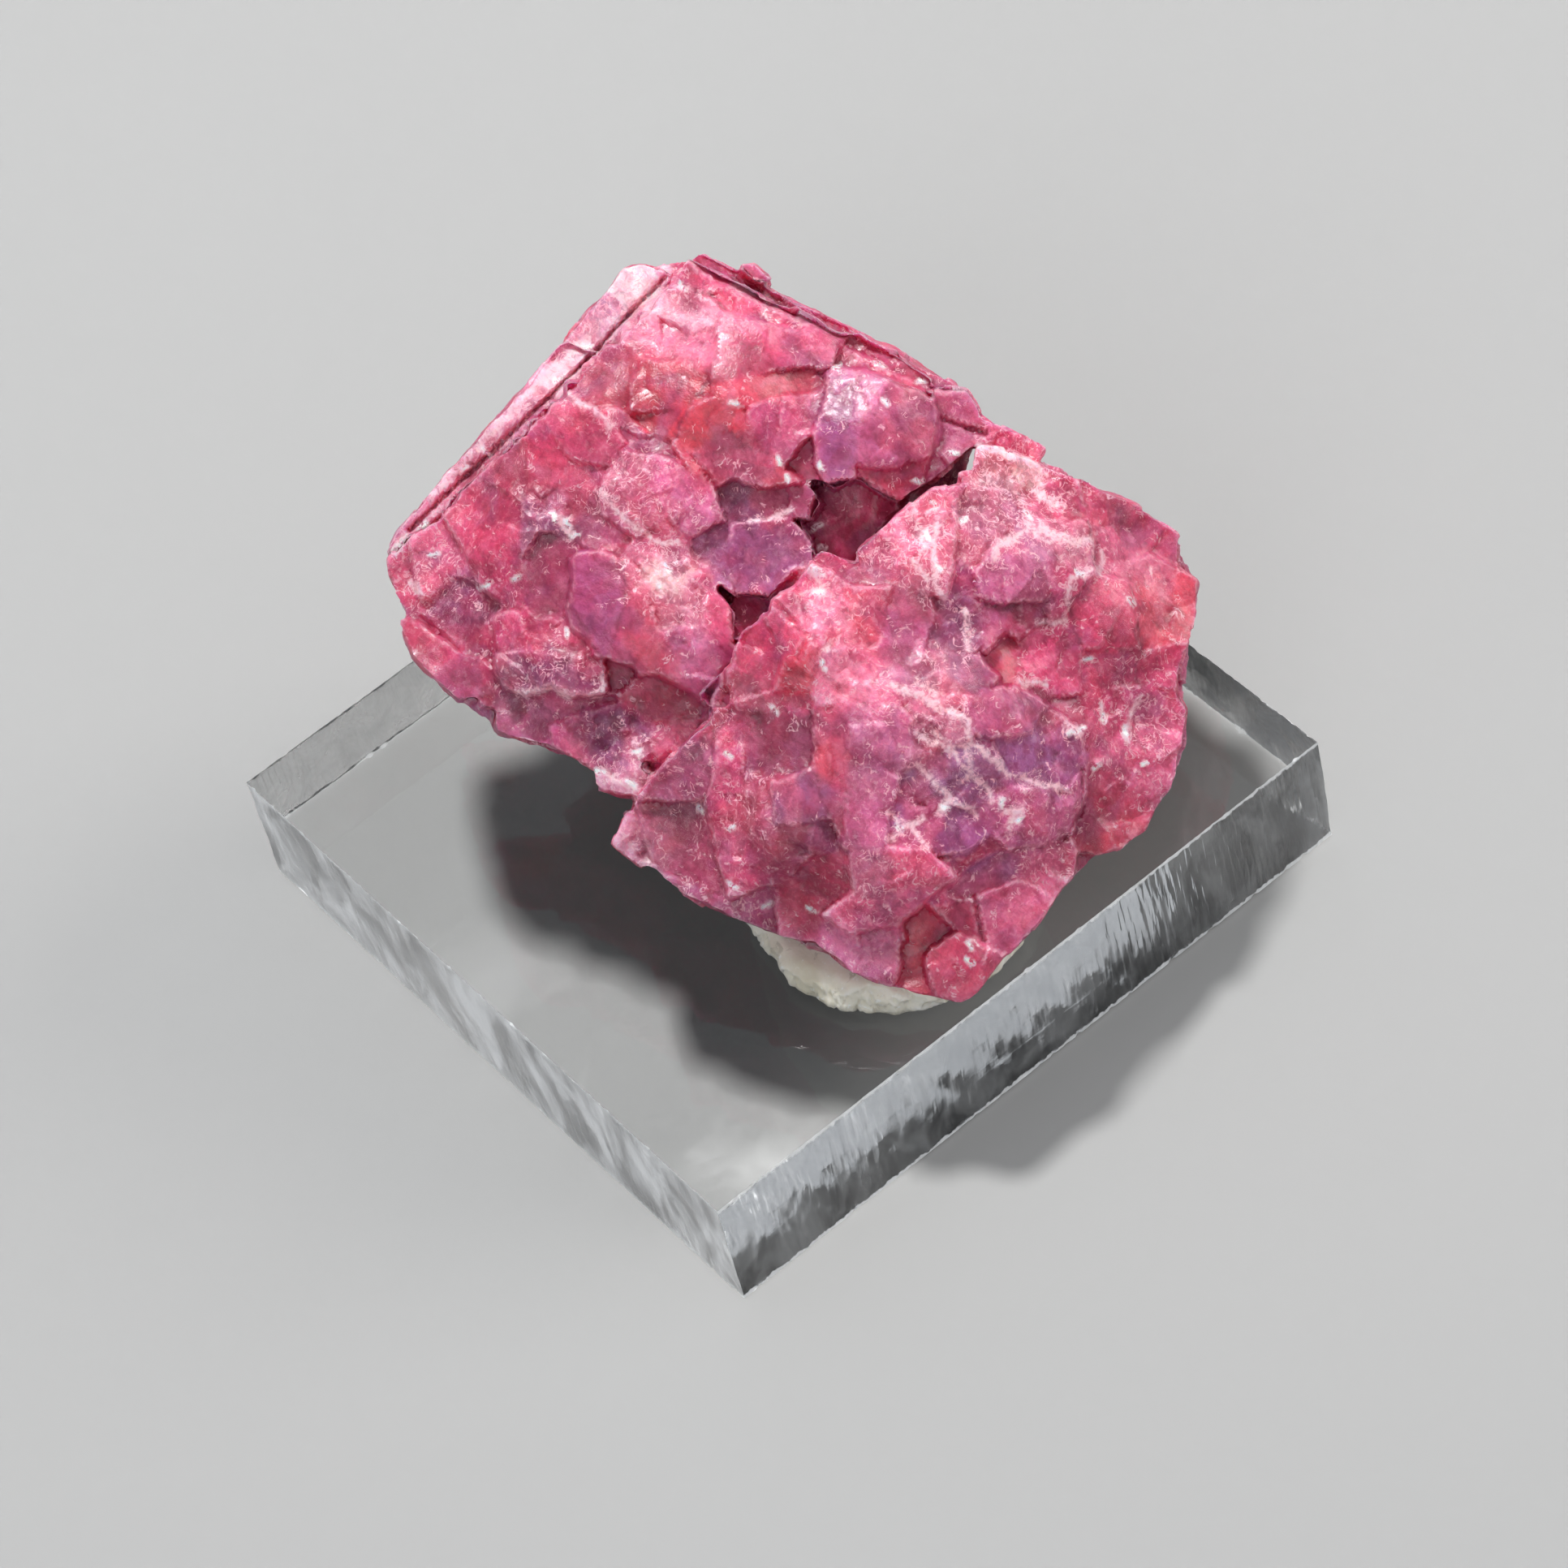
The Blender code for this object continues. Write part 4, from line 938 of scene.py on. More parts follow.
tints = np.zeros((n, 3))
# frost and painted sheen: paler and rougher places
frosts_and_sheens = np.full(n, 0.22)
clears = np.full(n, 0.40)
palette = np.array([TINT[p[4]] for p in PATCHES])
soft_u, soft_v = U[toward] + wu[toward] * 2.2, V[toward] + wv[toward] * 2.2
frost_and_sheen_of = np.array([p[7] for p in PATCHES])
clear_of = np.array([p[8] * (0.3 if p[4] in ("violet", "greyviolet", "dusk", "plum", "dark") else 1) for p in PATCHES])
side_of = np.array([p[0] == "B" for p in PATCHES])
same = np.where(side_of[:, None] == use_b[None, :], 0.0, 30.0)
crisp_w = 1.0 / (1.0 + np.exp(np.clip((far + same) / 2.5, -30, 30)))
soft_far = np.empty_like(far)
for i, patch in enumerate(PATCHES):
    soft_far[i] = outline_distance(patch[1], soft_u, soft_v)
soft_w = 1.0 / (1.0 + np.exp(np.clip((soft_far + same) / 11.0, -30, 30)))
crisp_w /= crisp_w.sum(axis=0) + 1e-9
soft_w /= soft_w.sum(axis=0) + 1e-9
front_tint = crisp_w.T @ palette * 0.62 + soft_w.T @ palette * 0.38
front_tint *= (0.90 + 0.20 * shade)[:, None]
side_tints = [TINT[c] for c in ("rose", "hot", "raspberry", "mauve", "rose", "violet", "pink", "raspberry",
                                "coral", "wine")]
zone = noises(P, 4.2, 9.0, 2)
zone2 = noises(P, 1.6, 10.0, 2)
mixer = np.clip((zone * 1.1 + zone2 * 0.45) * 0.9 + 0.5, 0, 0.999) * (len(side_tints) - 1)
lowi = np.floor(mixer).astype(int)
st = np.array(side_tints)
frac = (mixer - lowi)[:, None]
rest_tint = st[lowi] * (1 - frac) + st[np.minimum(lowi + 1, len(st) - 1)] * frac
rest_tint = rest_tint * 0.7 + np.array(TINT["rose"]) * 0.3
rest_tint *= (0.88 + 0.24 * rest_shade)[:, None]
tints[:] = rest_tint
tints[toward] = rest_tint[toward] * (1 - colour_weight)[:, None] + front_tint * colour_weight[:, None]
frosts_and_sheens[toward] = frosts_and_sheens[toward] * (1 - colour_weight) + (soft_w.T @ frost_and_sheen_of) * colour_weight
clears[toward] = clears[toward] * (1 - colour_weight) + (soft_w.T @ clear_of) * colour_weight


def planes_of(size, seed, bend):
    """A random number for each vertex, the same within one cell of inner planes."""
    pick_from = random.Random(seed)
    cells = [(Vector(P[pick_from.randrange(n)]), pick_from.random()) for _ in range(int(2600 / size ** 2))]
    kd = kdtree.KDTree(len(cells))
    for i, (q, _) in enumerate(cells):
        kd.insert(q, i)
    kd.balance()
    shift = np.stack([wu, wv, wu - wv], axis=1) / 30 * bend
    return np.array([cells[kd.find(Vector(q))[1]][1] for q in P + shift])


def blend(rgb, mask, strength, colour):
    f = (mask * strength)[:, None]
    return rgb * (1 - f) + np.array(colour) * f


plane1, plane2 = planes_of(2.3, 5, 0.35), planes_of(1.2, 6, 0.5)
tints *= (1 - 0.34 * smooth_step(0.35, 0.0, plane1) + 0.16 * smooth_step(0.7, 1.0, plane1))[:, None]
tints[:, 1] *= 1 + 0.60 * smooth_step(0.65, 1.0, plane1)
tints[:, 2] *= 1 + 0.25 * smooth_step(0.65, 1.0, plane1)
tints *= (1 - 0.26 * smooth_step(0.35, 0.0, plane2) + 0.14 * smooth_step(0.7, 1.0, plane2))[:, None]
cloud = noises(P, 1.7, 21.0, 5)
warm = noises(P, 2.4, 22.0, 4)
dusk = noises(P, 0.8, 23.0, 4)
tints = blend(tints, smooth_step(0.02, 0.42, cloud), 0.44, (0.36, 0.075, 0.215))
tints = blend(tints, smooth_step(0.12, 0.45, warm), 0.28, (0.98, 0.080, 0.120))
tints = blend(tints, smooth_step(0.05, 0.50, dusk), 0.40, (0.36, 0.018, 0.075))
tints = blend(tints, smooth_step(-0.10, -0.55, dusk), 0.25, (0.98, 0.260, 0.400))

veins_and_edge_highlights = np.zeros(n)
kink_u, kink_v = noises(P, 0.7, 41.0) * 5.0, noises(P, 0.7, 42.0) * 5.0
vu, vv = U + wu * 0.5 + kink_u, V + wv * 0.5 + kink_v
for width, points in VEINS_AND_EDGE_HIGHLIGHTS:
    veins_and_edge_highlights = np.maximum(veins_and_edge_highlights, smooth_step(width * 1.3 + 2.6, width * 0.6, line_distance(points, vu, vv)))
halo = np.zeros(n)
for width, points in VEINS_AND_EDGE_HIGHLIGHTS:
    halo = np.maximum(halo, smooth_step(12, 2, line_distance(points, vu, vv)))
veins_and_edge_highlights *= (facing > 0.1)
frosts_and_sheens = np.clip(frosts_and_sheens + 0.36 * halo * (facing > 0.1), 0, 1)
seams = np.zeros(n)
for width, points in SEAMS:
    seams = np.maximum(seams, smooth_step(width + 2.2, width * 0.4, line_distance(points, vu, vv)))
seams *= (facing > 0.1) * (0.55 + 0.45 * np.clip(dusk * 2 + 0.5, 0, 1))
tints = blend(tints, seams, 0.72, (0.20, 0.010, 0.045))
gate = noises(P, 2.1, 31.0, 2)
crowd = noises(P, 1.5, 32.0, 2)
# painted highlights at the glint strokes, kept in the alpha of the mask attribute
painted_shine = np.zeros(n)
painted_shine[toward] = glint_paint * colour_weight
tints *= (0.94, 0.83, 0.93)
tints += (tints.mean(axis=0) - tints) * 0.10

for name, rgb in (("tint", tints), ("mask", np.stack([frosts_and_sheens, clears, ridge_frost_and_highlight], axis=1)),
                  ("mask2", np.stack([veins_and_edge_highlights, recess_shade, raised_frost_and_highlight], axis=1)),
                  ("mask3", np.stack([gate * 0.5 + 0.5, crowd * 0.5 + 0.5, rest_shade], axis=1))):
    attr = mesh.color_attributes.new(name, "FLOAT_COLOR", "POINT")
    rgba = np.ones((n, 4), dtype=np.float32)
    rgba[:, :3] = rgb
    if name == "mask":
        rgba[:, 3] = painted_shine
    attr.data.foreach_set("color", rgba.ravel())

P = P + N2 * (((plane1 - 0.5) * 0.05 + (plane2 - 0.5) * 0.035) * (low * (0.4 + 0.6 * (1 - painted_shine))))[:, None]
P[:, 2] = np.maximum(P[:, 2], FLOOR)
P = P * MM
P[:, 2] += TOP
mesh.vertices.foreach_set("co", P.ravel())
mesh.update()
# the back, the sides and the underside need fewer faces than the front
group = crystal.vertex_groups.new(name="coarse")
back = np.where(held < 0.5)[0]
group.add([int(i) for i in back], 1.0, "REPLACE")
mod = crystal.modifiers.new("coarse", "DECIMATE")
mod.vertex_group = "coarse"
mod.ratio = min(1.0, 95000.0 / n)
dg = bpy.context.evaluated_depsgraph_get()
mesh = bpy.data.meshes.new_from_object(crystal.evaluated_get(dg))
crystal.modifiers.clear()
crystal.data = mesh
mesh.shade_smooth()
mesh.set_sharp_from_angle(angle=math.radians(23))


# ---------------------------------------------------------------- materials
def new_material(name):
    mat = bpy.data.materials.new(name)
    mat.use_nodes = True
    nt = mat.node_tree
    nt.nodes.clear()
    out = nt.nodes.new("ShaderNodeOutputMaterial")
    bsdf = nt.nodes.new("ShaderNodeBsdfPrincipled")
    nt.links.new(bsdf.outputs["BSDF"], out.inputs["Surface"])
    return mat, nt, bsdf, out


class Nodes:
    """Short names for the nodes that the materials use."""

    def __init__(self, nt):
        self.nt = nt
        self.coord = nt.nodes.new("ShaderNodeTexCoord").outputs["Object"]

    def link(self, a, b):
        self.nt.links.new(a, b)

    def mapping(self, scale=(1, 1, 1), rotation=(0, 0, 0), source=None):
        n = self.nt.nodes.new("ShaderNodeMapping")
        n.inputs["Scale"].default_value = scale
        n.inputs["Rotation"].default_value = rotation
        self.link(source or self.coord, n.inputs["Vector"])
        return n.outputs[0]

    def noise(self, scale, detail=3.0, rough=0.55, distortion=0.0, source=None, colour=False):
        n = self.nt.nodes.new("ShaderNodeTexNoise")
        n.inputs["Scale"].default_value = scale
        n.inputs["Detail"].default_value = detail
        n.inputs["Roughness"].default_value = rough
        n.inputs["Distortion"].default_value = distortion
        self.link(source or self.coord, n.inputs["Vector"])
        return n.outputs["Color" if colour else "Fac"]

    def voronoi(self, scale, feature="F1", source=None, out="Distance", randomness=1.0):
        n = self.nt.nodes.new("ShaderNodeTexVoronoi")
        n.feature = feature
        n.inputs["Scale"].default_value = scale
        n.inputs["Randomness"].default_value = randomness
        self.link(source or self.coord, n.inputs["Vector"])
        return n.outputs[out] if out else n.outputs

    def ramp(self, source, stops):
        n = self.nt.nodes.new("ShaderNodeValToRGB")
        el = n.color_ramp.elements
        while len(el) > 1:
            el.remove(el[-1])
        el[0].position = stops[0][0]
        el[0].color = self.rgba(stops[0][1])
        for pos, col in stops[1:]:
            e = el.new(pos)
            e.color = self.rgba(col)
        self.link(source, n.inputs["Fac"])
        return n.outputs["Color"]

    @staticmethod
    def rgba(c):
        if isinstance(c, (int, float)):
            return (c, c, c, 1)
        return (*c, 1)

    def mix(self, fac, a, b, mode="MIX"):
        n = self.nt.nodes.new("ShaderNodeMix")
        n.data_type = "RGBA"
        n.blend_type = mode
        for value, index in ((fac, 0), (a, 6), (b, 7)):
            socket = n.inputs[index]
            if isinstance(value, (int, float)):
                socket.default_value = value if index == 0 else self.rgba(value)
            elif isinstance(value, tuple):
                socket.default_value = self.rgba(value)
            else:
                self.link(value, socket)
        return n.outputs[2]

    def math(self, op, a, b=0.0, c=0.0, clamp=False):
        n = self.nt.nodes.new("ShaderNodeMath")
        n.operation = op
        n.use_clamp = clamp
        for value, socket in ((a, n.inputs[0]), (b, n.inputs[1]), (c, n.inputs[2])):
            if isinstance(value, (int, float)):
                socket.default_value = value
            else:
                self.link(value, socket)
        return n.outputs[0]

    def attribute(self, name, out="Color"):
        n = self.nt.nodes.new("ShaderNodeAttribute")
        n.attribute_name = name
        return n.outputs[out]

    def split(self, colour):
        n = self.nt.nodes.new("ShaderNodeSeparateColor")
        self.link(colour, n.inputs[0])
        return n.outputs

    def bump(self, height, strength, distance, normal=None):
        n = self.nt.nodes.new("ShaderNodeBump")
        n.inputs["Strength"].default_value = strength
        n.inputs["Distance"].default_value = distance
        self.link(height, n.inputs["Height"])
        if normal is not None:
            self.link(normal, n.inputs["Normal"])
        return n.outputs["Normal"]


spinel, nt, bsdf, out = new_material("spinel_fine")
k = Nodes(nt)
tint = k.attribute("tint")
frost_and_sheen, clear, ridge_frost_and_highlight = k.split(k.attribute("mask"))[:3]
vein_and_edge_highlight, recess_shade, raised_frost_and_highlight = k.split(k.attribute("mask2"))[:3]
gate, crowd = k.split(k.attribute("mask3"))[:2]
painted_shine = k.attribute("mask", "Alpha")
# brushed growth streaks: a soft light and dark grain
fibre = k.noise(1500.0, 3.0, 0.66, 0.5, source=k.mapping((1.5, 0.55, 1.0), (0.5, 0.2, 0.9)))
colour = k.mix(0.8, tint, k.ramp(fibre, [(0.33, (0.72, 0.52, 0.62)), (0.50, (1.0, 1.0, 1.0)),
                                         (0.66, (1.08, 1.40, 1.28))]), "MULTIPLY")
# frost and painted sheen: a paler pink where that mask is high
veil = k.ramp(k.noise(1900.0, 3.0, 0.72, 1.2), [(0.50, 0.0), (0.66, 1.0)])
colour = k.mix(k.math("MULTIPLY", veil, k.math("MULTIPLY_ADD", frost_and_sheen, 0.62, 0.0), clamp=True),
               colour, (0.97, 0.360, 0.480))
# a few pale healed cracks with straight runs
bent = k.mix(0.04, k.coord, k.noise(1100.0, 1.0, 0.5, colour=True), "LINEAR_LIGHT")
crack = k.voronoi(620.0, "DISTANCE_TO_EDGE", source=bent)
pale_line = k.math("MULTIPLY", k.ramp(crack, [(0.0, 1.0), (0.022, 0.0)]), k.ramp(gate, [(0.55, 0.0), (0.66, 1.0)]))
colour = k.mix(k.math("MULTIPLY", pale_line, 0.75), colour, (0.98, 0.60, 0.66))
# short curled white marks, crowded on frosted places and on painted sheen
dust = k.noise(4200.0, 3.0, 0.68, 0.8)
curl = k.noise(1750.0, 2.0, 0.55, 1.3)
curl = k.ramp(k.math("ABSOLUTE", k.math("SUBTRACT", curl, 0.5)), [(0.006, 1.0), (0.034, 0.0)])
part = k.noise(2300.0, 1.0, 0.5, source=k.mapping((1.0, 0.7, 1.0), (0.3, 0.9, 0.5)))
part = k.math("ADD", part, k.math("MULTIPLY_ADD", crowd, 0.30, -0.15))
part = k.math("ADD", part, k.math("MULTIPLY_ADD", frost_and_sheen, 0.52, -0.15))
part = k.ramp(part, [(0.51, 0.0), (0.57, 1.0)])
colour = k.mix(k.math("MULTIPLY", k.math("MULTIPLY", curl, part), 0.85), colour, (1.0, 0.54, 0.62))
grain = k.ramp(dust, [(0.36, (0.80, 0.70, 0.76)), (0.50, (1.0, 1.0, 1.0)), (0.64, (1.06, 1.18, 1.12))])
colour = k.mix(0.75, colour, grain, "MULTIPLY")
fleck = k.ramp(dust, [(0.56, 0.0), (0.61, 1.0)])
colour = k.mix(k.math("MULTIPLY", fleck, k.math("MULTIPLY_ADD", frost_and_sheen, 1.1, -0.08), clamp=True),
               colour, (1.0, 0.66, 0.72))
# painted shade: deep places are darker; broken edges and raised places are pale, partly frost and partly painted
# highlight; veins are pale, and some bright edge lines among them are painted highlights
colour = k.mix(k.math("MULTIPLY", recess_shade, 0.26), colour, (0.30, 0.012, 0.055))
colour = k.mix(k.math("MULTIPLY", raised_frost_and_highlight, 0.12), colour, (0.98, 0.36, 0.48))
broken = k.ramp(dust, [(0.36, 0.30), (0.50, 1.0)])
colour = k.mix(k.math("MULTIPLY", k.math("MULTIPLY", ridge_frost_and_highlight, broken), 0.50), colour, (1.0, 0.52, 0.60))
colour = k.mix(k.math("MULTIPLY", k.math("MULTIPLY", vein_and_edge_highlight, broken), 0.90), colour, (1.0, 0.64, 0.70))
# painted highlights: near-white strokes at the glint places
painted_spark = k.math("MULTIPLY", painted_shine, k.ramp(dust, [(0.38, 0.0), (0.48, 1.0)]))
colour = k.mix(k.math("MULTIPLY", painted_spark, 1.0), colour, (1.0, 0.93, 0.95))
nt.links.new(colour, bsdf.inputs["Base Color"])
rough = k.math("ADD", k.math("MULTIPLY_ADD", frost_and_sheen, 0.25, 0.27), k.math("MULTIPLY", fibre, 0.24))
rough = k.math("MULTIPLY", rough, k.math("MULTIPLY_ADD", painted_shine, -0.6, 1.0))
nt.links.new(rough, bsdf.inputs["Roughness"])
nt.links.new(k.math("MULTIPLY", clear, 0.70), bsdf.inputs["Transmission Weight"])
bsdf.inputs["IOR"].default_value = 1.718
bsdf.inputs["Specular IOR Level"].default_value = 0.24
bsdf.inputs["Subsurface Weight"].default_value = 0.62
bsdf.inputs["Subsurface Radius"].default_value = (1.0, 0.28, 0.42)
bsdf.inputs["Subsurface Scale"].default_value = 0.0020
bsdf.inputs["Coat Weight"].default_value = 0.05
bsdf.inputs["Coat Roughness"].default_value = 0.10
n2 = k.bump(k.noise(2600.0, 3.0, 0.70), 0.42, 0.00012)
nt.links.new(n2, bsdf.inputs["Normal"])
deep = nt.nodes.new("ShaderNodeVolumeAbsorption")
deep.inputs["Color"].default_value = (0.95, 0.25, 0.48, 1)
deep.inputs["Density"].default_value = 200.0
nt.links.new(deep.outputs[0], out.inputs["Volume"])
mesh.materials.clear()
mesh.materials.append(spinel)

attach(crystal, "root")
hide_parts("spinel_crystal")

# ------------------------------------------------------ the sawn acrylic base
def ripple_at(side, t, h):
    """How far the sawn side stands back (mm) at t mm along it and h mm up."""
    seed = side * 17.3
    wander = noise.noise(Vector((t * 0.35, h * 0.25, seed))) * 2.2
    strong = 0.5 + 0.9 * noise.noise(Vector((t * 0.16, 3.1, seed)))
    strong = min(max(strong, 0.05), 1.0)
    teeth = math.sin(math.tau * (t + h * 0.06 + wander * 0.12) / 0.31)
    wave = noise.noise(Vector((t * 0.9 + h * 0.5, h * 0.35, seed + 5)))
    pit = noise.noise(Vector((t * 2.6, h * 1.6, seed + 9)))
    return 0.070 + 0.022 * strong * teeth + 0.045 * wave + 0.022 * pit


def chip_at(side, t, top):
    """Chips along an edge (mm)."""
    a = noise.noise(Vector((t * 2.9, side * 7.7, 20.0 if top else 40.0)))
    b = noise.noise(Vector((t * 0.9, side * 3.1, 25.0 if top else 45.0)))
    return 0.035 + 0.05 * max(a, 0) + 0.16 * max(a + b - 0.35, 0) * (0.6 if top else 1.3)


half_x, half_y = (base_hi.x - base_lo.x) / 2 / MM, (base_hi.y - base_lo.y) / 2 / MM
mid = (base_lo + base_hi) / 2
tall = (base_hi.z - base_lo.z) / MM
columns = 300
rows = 26
heights = [tall * (0.5 - 0.5 * math.cos(math.pi * r / rows)) for r in range(rows + 1)]
corners = [(-half_x, -half_y), (half_x, -half_y), (half_x, half_y), (-half_x, half_y)]
verts, faces = [], []
ring = []
for side in range(4):
    (x1, y1), (x2, y2) = corners[side], corners[(side + 1) % 4]
    for c in range(columns):
        s_ = c / columns
        ring.append((side, x1 + (x2 - x1) * s_, y1 + (y2 - y1) * s_, s_))
outward = [(0, -1), (1, 0), (0, 1), (-1, 0)]
many = len(ring)


def add_ring(height, back_of):
    """A ring around the slab; each point stands back inward from the side."""
    start = len(verts)
    for side, x, y, s_ in ring:
        t = s_ * 2 * half_x
        back = back_of(side, t)
        inset = back_of(side, 0.0)
        half = half_x - inset
        along = (s_ * 2 - 1) * half
        ox, oy = outward[side]
        stand = half_x - (back if s_ else inset)
        x, y = ox * stand - oy * along, oy * stand + ox * along
        verts.append((x, y, height(side, t) if callable(height) else height))
    return start


rings = [add_ring(0.0, lambda a, t: 0.45)]
rings.append(add_ring(0.0, lambda a, t: 0.03 + chip_at(a, t, False)))
for r in range(rows + 1):
    h = heights[r]
    if r == 0:
        rings.append(add_ring(lambda a, t: min(chip_at(a, t, False) * 0.9, 0.5),
                              lambda a, t: max(ripple_at(a, t, 0.2), 0.0)))
    elif r == rows:
        rings.append(add_ring(lambda a, t: tall - min(chip_at(a, t, True) * 0.9, 0.5),
                              lambda a, t: max(ripple_at(a, t, tall - 0.2), 0.0)))
    elif 0.25 < h < tall - 0.25:
        rings.append(add_ring(h, lambda a, t, h=h: max(ripple_at(a, t, h), 0.0)))
rings.append(add_ring(tall, lambda a, t: 0.03 + chip_at(a, t, True)))
rings.append(add_ring(tall, lambda a, t: 0.45))
for lower, upper in zip(rings, rings[1:]):
    for i in range(many):
        j = (i + 1) % many
        faces.append((lower + i, lower + j, upper + j, upper + i))
faces.append(tuple(rings[-1] + i for i in range(many)))
faces.append(tuple(rings[0] + i for i in reversed(range(many))))
base_mesh = bpy.data.meshes.new("acrylic_base_fine")
base_mesh.from_pydata([(mid.x + x * MM, mid.y + y * MM, base_lo.z + z * MM) for x, y, z in verts], [], faces)
base_mesh.shade_smooth()
base_mesh.set_sharp_from_angle(angle=math.radians(38))
inner = {v for poly in base_mesh.polygons if len(poly.vertices) > 4 for v in poly.vertices}
for e in base_mesh.edges:
    if e.vertices[0] in inner and e.vertices[1] in inner:
        e.use_edge_sharp = True
slab = bpy.data.objects.new("acrylic_base_fine", base_mesh)
bpy.context.scene.collection.objects.link(slab)

acrylic, nt, bsdf, out = new_material("acrylic_fine")
k = Nodes(nt)
geo = nt.nodes.new("ShaderNodeNewGeometry")
up = nt.nodes.new("ShaderNodeSeparateXYZ")
nt.links.new(geo.outputs["Normal"], up.inputs[0])
flat = k.ramp(k.math("ABSOLUTE", up.outputs[2]), [(0.75, 0.0), (0.92, 1.0)])     # top and underside
smear = k.ramp(k.noise(120.0, 4.0, 0.6, 0.5), [(0.45, 0.0), (0.75, 1.0)])
scratch = k.noise(900.0, 2.0, 0.5, source=k.mapping((0.06, 2.2, 1.0), (0, 0, 0.5)))
scratch = k.ramp(scratch, [(0.60, 0.0), (0.72, 1.0)])
streak = k.noise(2200.0, 3.0, 0.6, source=k.mapping((1.0, 1.0, 0.10)))
top_rough = k.math("MULTIPLY_ADD", smear, 0.035, 0.012)
side_rough = k.math("MULTIPLY_ADD", k.ramp(streak, [(0.35, 0.0), (0.7, 1.0)]), 0.16, 0.07)
# painted light: the side facing -x is made whiter (less clear) as well as rougher, a matt sawn finish
matt_and_painted_light = k.ramp(k.math("MULTIPLY", up.outputs[0], -1.0), [(0.5, 0.0), (0.9, 1.0)])
side_rough = k.math("ADD", side_rough, k.math("MULTIPLY", matt_and_painted_light, 0.22))
rough = k.mix(flat, side_rough, top_rough)
nt.links.new(rough, bsdf.inputs["Roughness"])
tone = k.mix(k.noise(60.0, 2.0), (0.975, 0.990, 0.988), (0.995, 0.998, 0.996))
nt.links.new(tone, bsdf.inputs["Base Color"])
bsdf.inputs["IOR"].default_value = 1.491
side_only = k.math("SUBTRACT", 1.0, flat)
cloudy_and_painted_light = k.ramp(k.noise(420.0, 4.0, 0.6, 0.8, source=k.mapping((1.0, 1.0, 0.6), (0.0, 0.5, 0.3))), [(0.40, 0.25), (0.62, 1.0)])
cloudy_and_painted_light = k.math("MULTIPLY", cloudy_and_painted_light, k.math("MULTIPLY_ADD", matt_and_painted_light, 0.66, 0.16))
tall_at = nt.nodes.new("ShaderNodeSeparateXYZ")
nt.links.new(k.coord, tall_at.inputs[0])
off_middle = k.math("ABSOLUTE", k.math("SUBTRACT", tall_at.outputs[2], (base_lo.z + base_hi.z) / 2))
notch = k.math("MULTIPLY_ADD", streak, -0.0005, 0.00022)
# pale rims along the top and bottom of the sides: chipped frost and painted highlight
rim_frost_and_highlight = k.ramp(k.math("MULTIPLY", k.math("ADD", off_middle, notch), 2.0 / (base_hi.z - base_lo.z)), [(0.915, 0.0), (0.945, 0.75)])
cloudy_and_painted_light = k.math("MAXIMUM", cloudy_and_painted_light, rim_frost_and_highlight)
# less transmission on the sides, so they show their pale base colour: real cloudiness, and painted light on the side
# facing -x and along the rims
nt.links.new(k.math("SUBTRACT", 1.0, k.math("MULTIPLY", cloudy_and_painted_light, side_only)), bsdf.inputs["Transmission Weight"])
saw = k.bump(k.math("MULTIPLY", streak, side_only), 0.35, 0.00012)
fine_scratch = k.bump(k.math("MULTIPLY", scratch, flat), 0.05, 0.00002, saw)
nt.links.new(fine_scratch, bsdf.inputs["Normal"])
base_mesh.materials.append(acrylic)
slab.visible_shadow = False       # clear: light passes through it
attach(slab, "root")
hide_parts("acrylic_base")

# ------------------------------------------------------------ the mineral tack
putty = bpy.data.objects.new("mineral_tack_fine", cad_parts["mineral_tack"].data.copy())
bpy.context.scene.collection.objects.link(putty)
place_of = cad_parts["mineral_tack"].matrix_world
for v in putty.data.vertices:
    v.co = (place_of @ v.co) / MM
mod = putty.modifiers.new("fine", "REMESH")
mod.mode = "VOXEL"
mod.voxel_size = 0.15
dg = bpy.context.evaluated_depsgraph_get()
putty_mesh = bpy.data.meshes.new_from_object(putty.evaluated_get(dg))
putty.modifiers.clear()
putty.data = putty_mesh
t_lo, t_hi = tack_lo.z / MM, tack_hi.z / MM
centre = (tack_lo + tack_hi) / 2 / MM
for v in putty_mesh.vertices:
    q = v.co.copy()
    h = min(max((q.z - t_lo) / (t_hi - t_lo), 0), 1)
    out_dir = Vector((q.x - centre.x, q.y - centre.y, 0))
    far_out = out_dir.length / 8.0
    out_dir.normalize()
    fold = noise.noise(Vector((q.x * 0.55, q.y * 0.55, q.z * 1.2)))
    lump = noise.noise(Vector((q.x * 1.6, q.y * 1.6, q.z * 2.0 + 9)))
    crease = abs(noise.noise(Vector((q.x * 1.1 + 4, q.y * 1.1, q.z * 2.6))))
    press = abs(noise.noise(Vector((q.x * 2.6 + 4, q.y * 2.6 + 7, q.z * 3.4))))
    belly = math.sin(math.pi * h)
    amount = 0.42 * fold + 0.22 * lump - 0.30 * max(0.10 - crease, 0) / 0.10 - 0.08 * max(0.12 - press, 0) / 0.12
    q += out_dir * amount * min(far_out, 1.0) * (0.35 + 0.65 * belly)
    q.z = t_lo - 0.07 + h * (t_hi - t_lo + 0.07 + 0.10)
    v.co = q * MM
putty_mesh.shade_smooth()

tack_mat, nt, bsdf, out = new_material("tack_fine")
k = Nodes(nt)
soft = k.ramp(k.noise(260.0, 5.0, 0.6, 0.4), [(0.35, (0.70, 0.645, 0.50)), (0.5, (0.86, 0.81, 0.68)),
                                             (0.68, (0.94, 0.91, 0.84))])
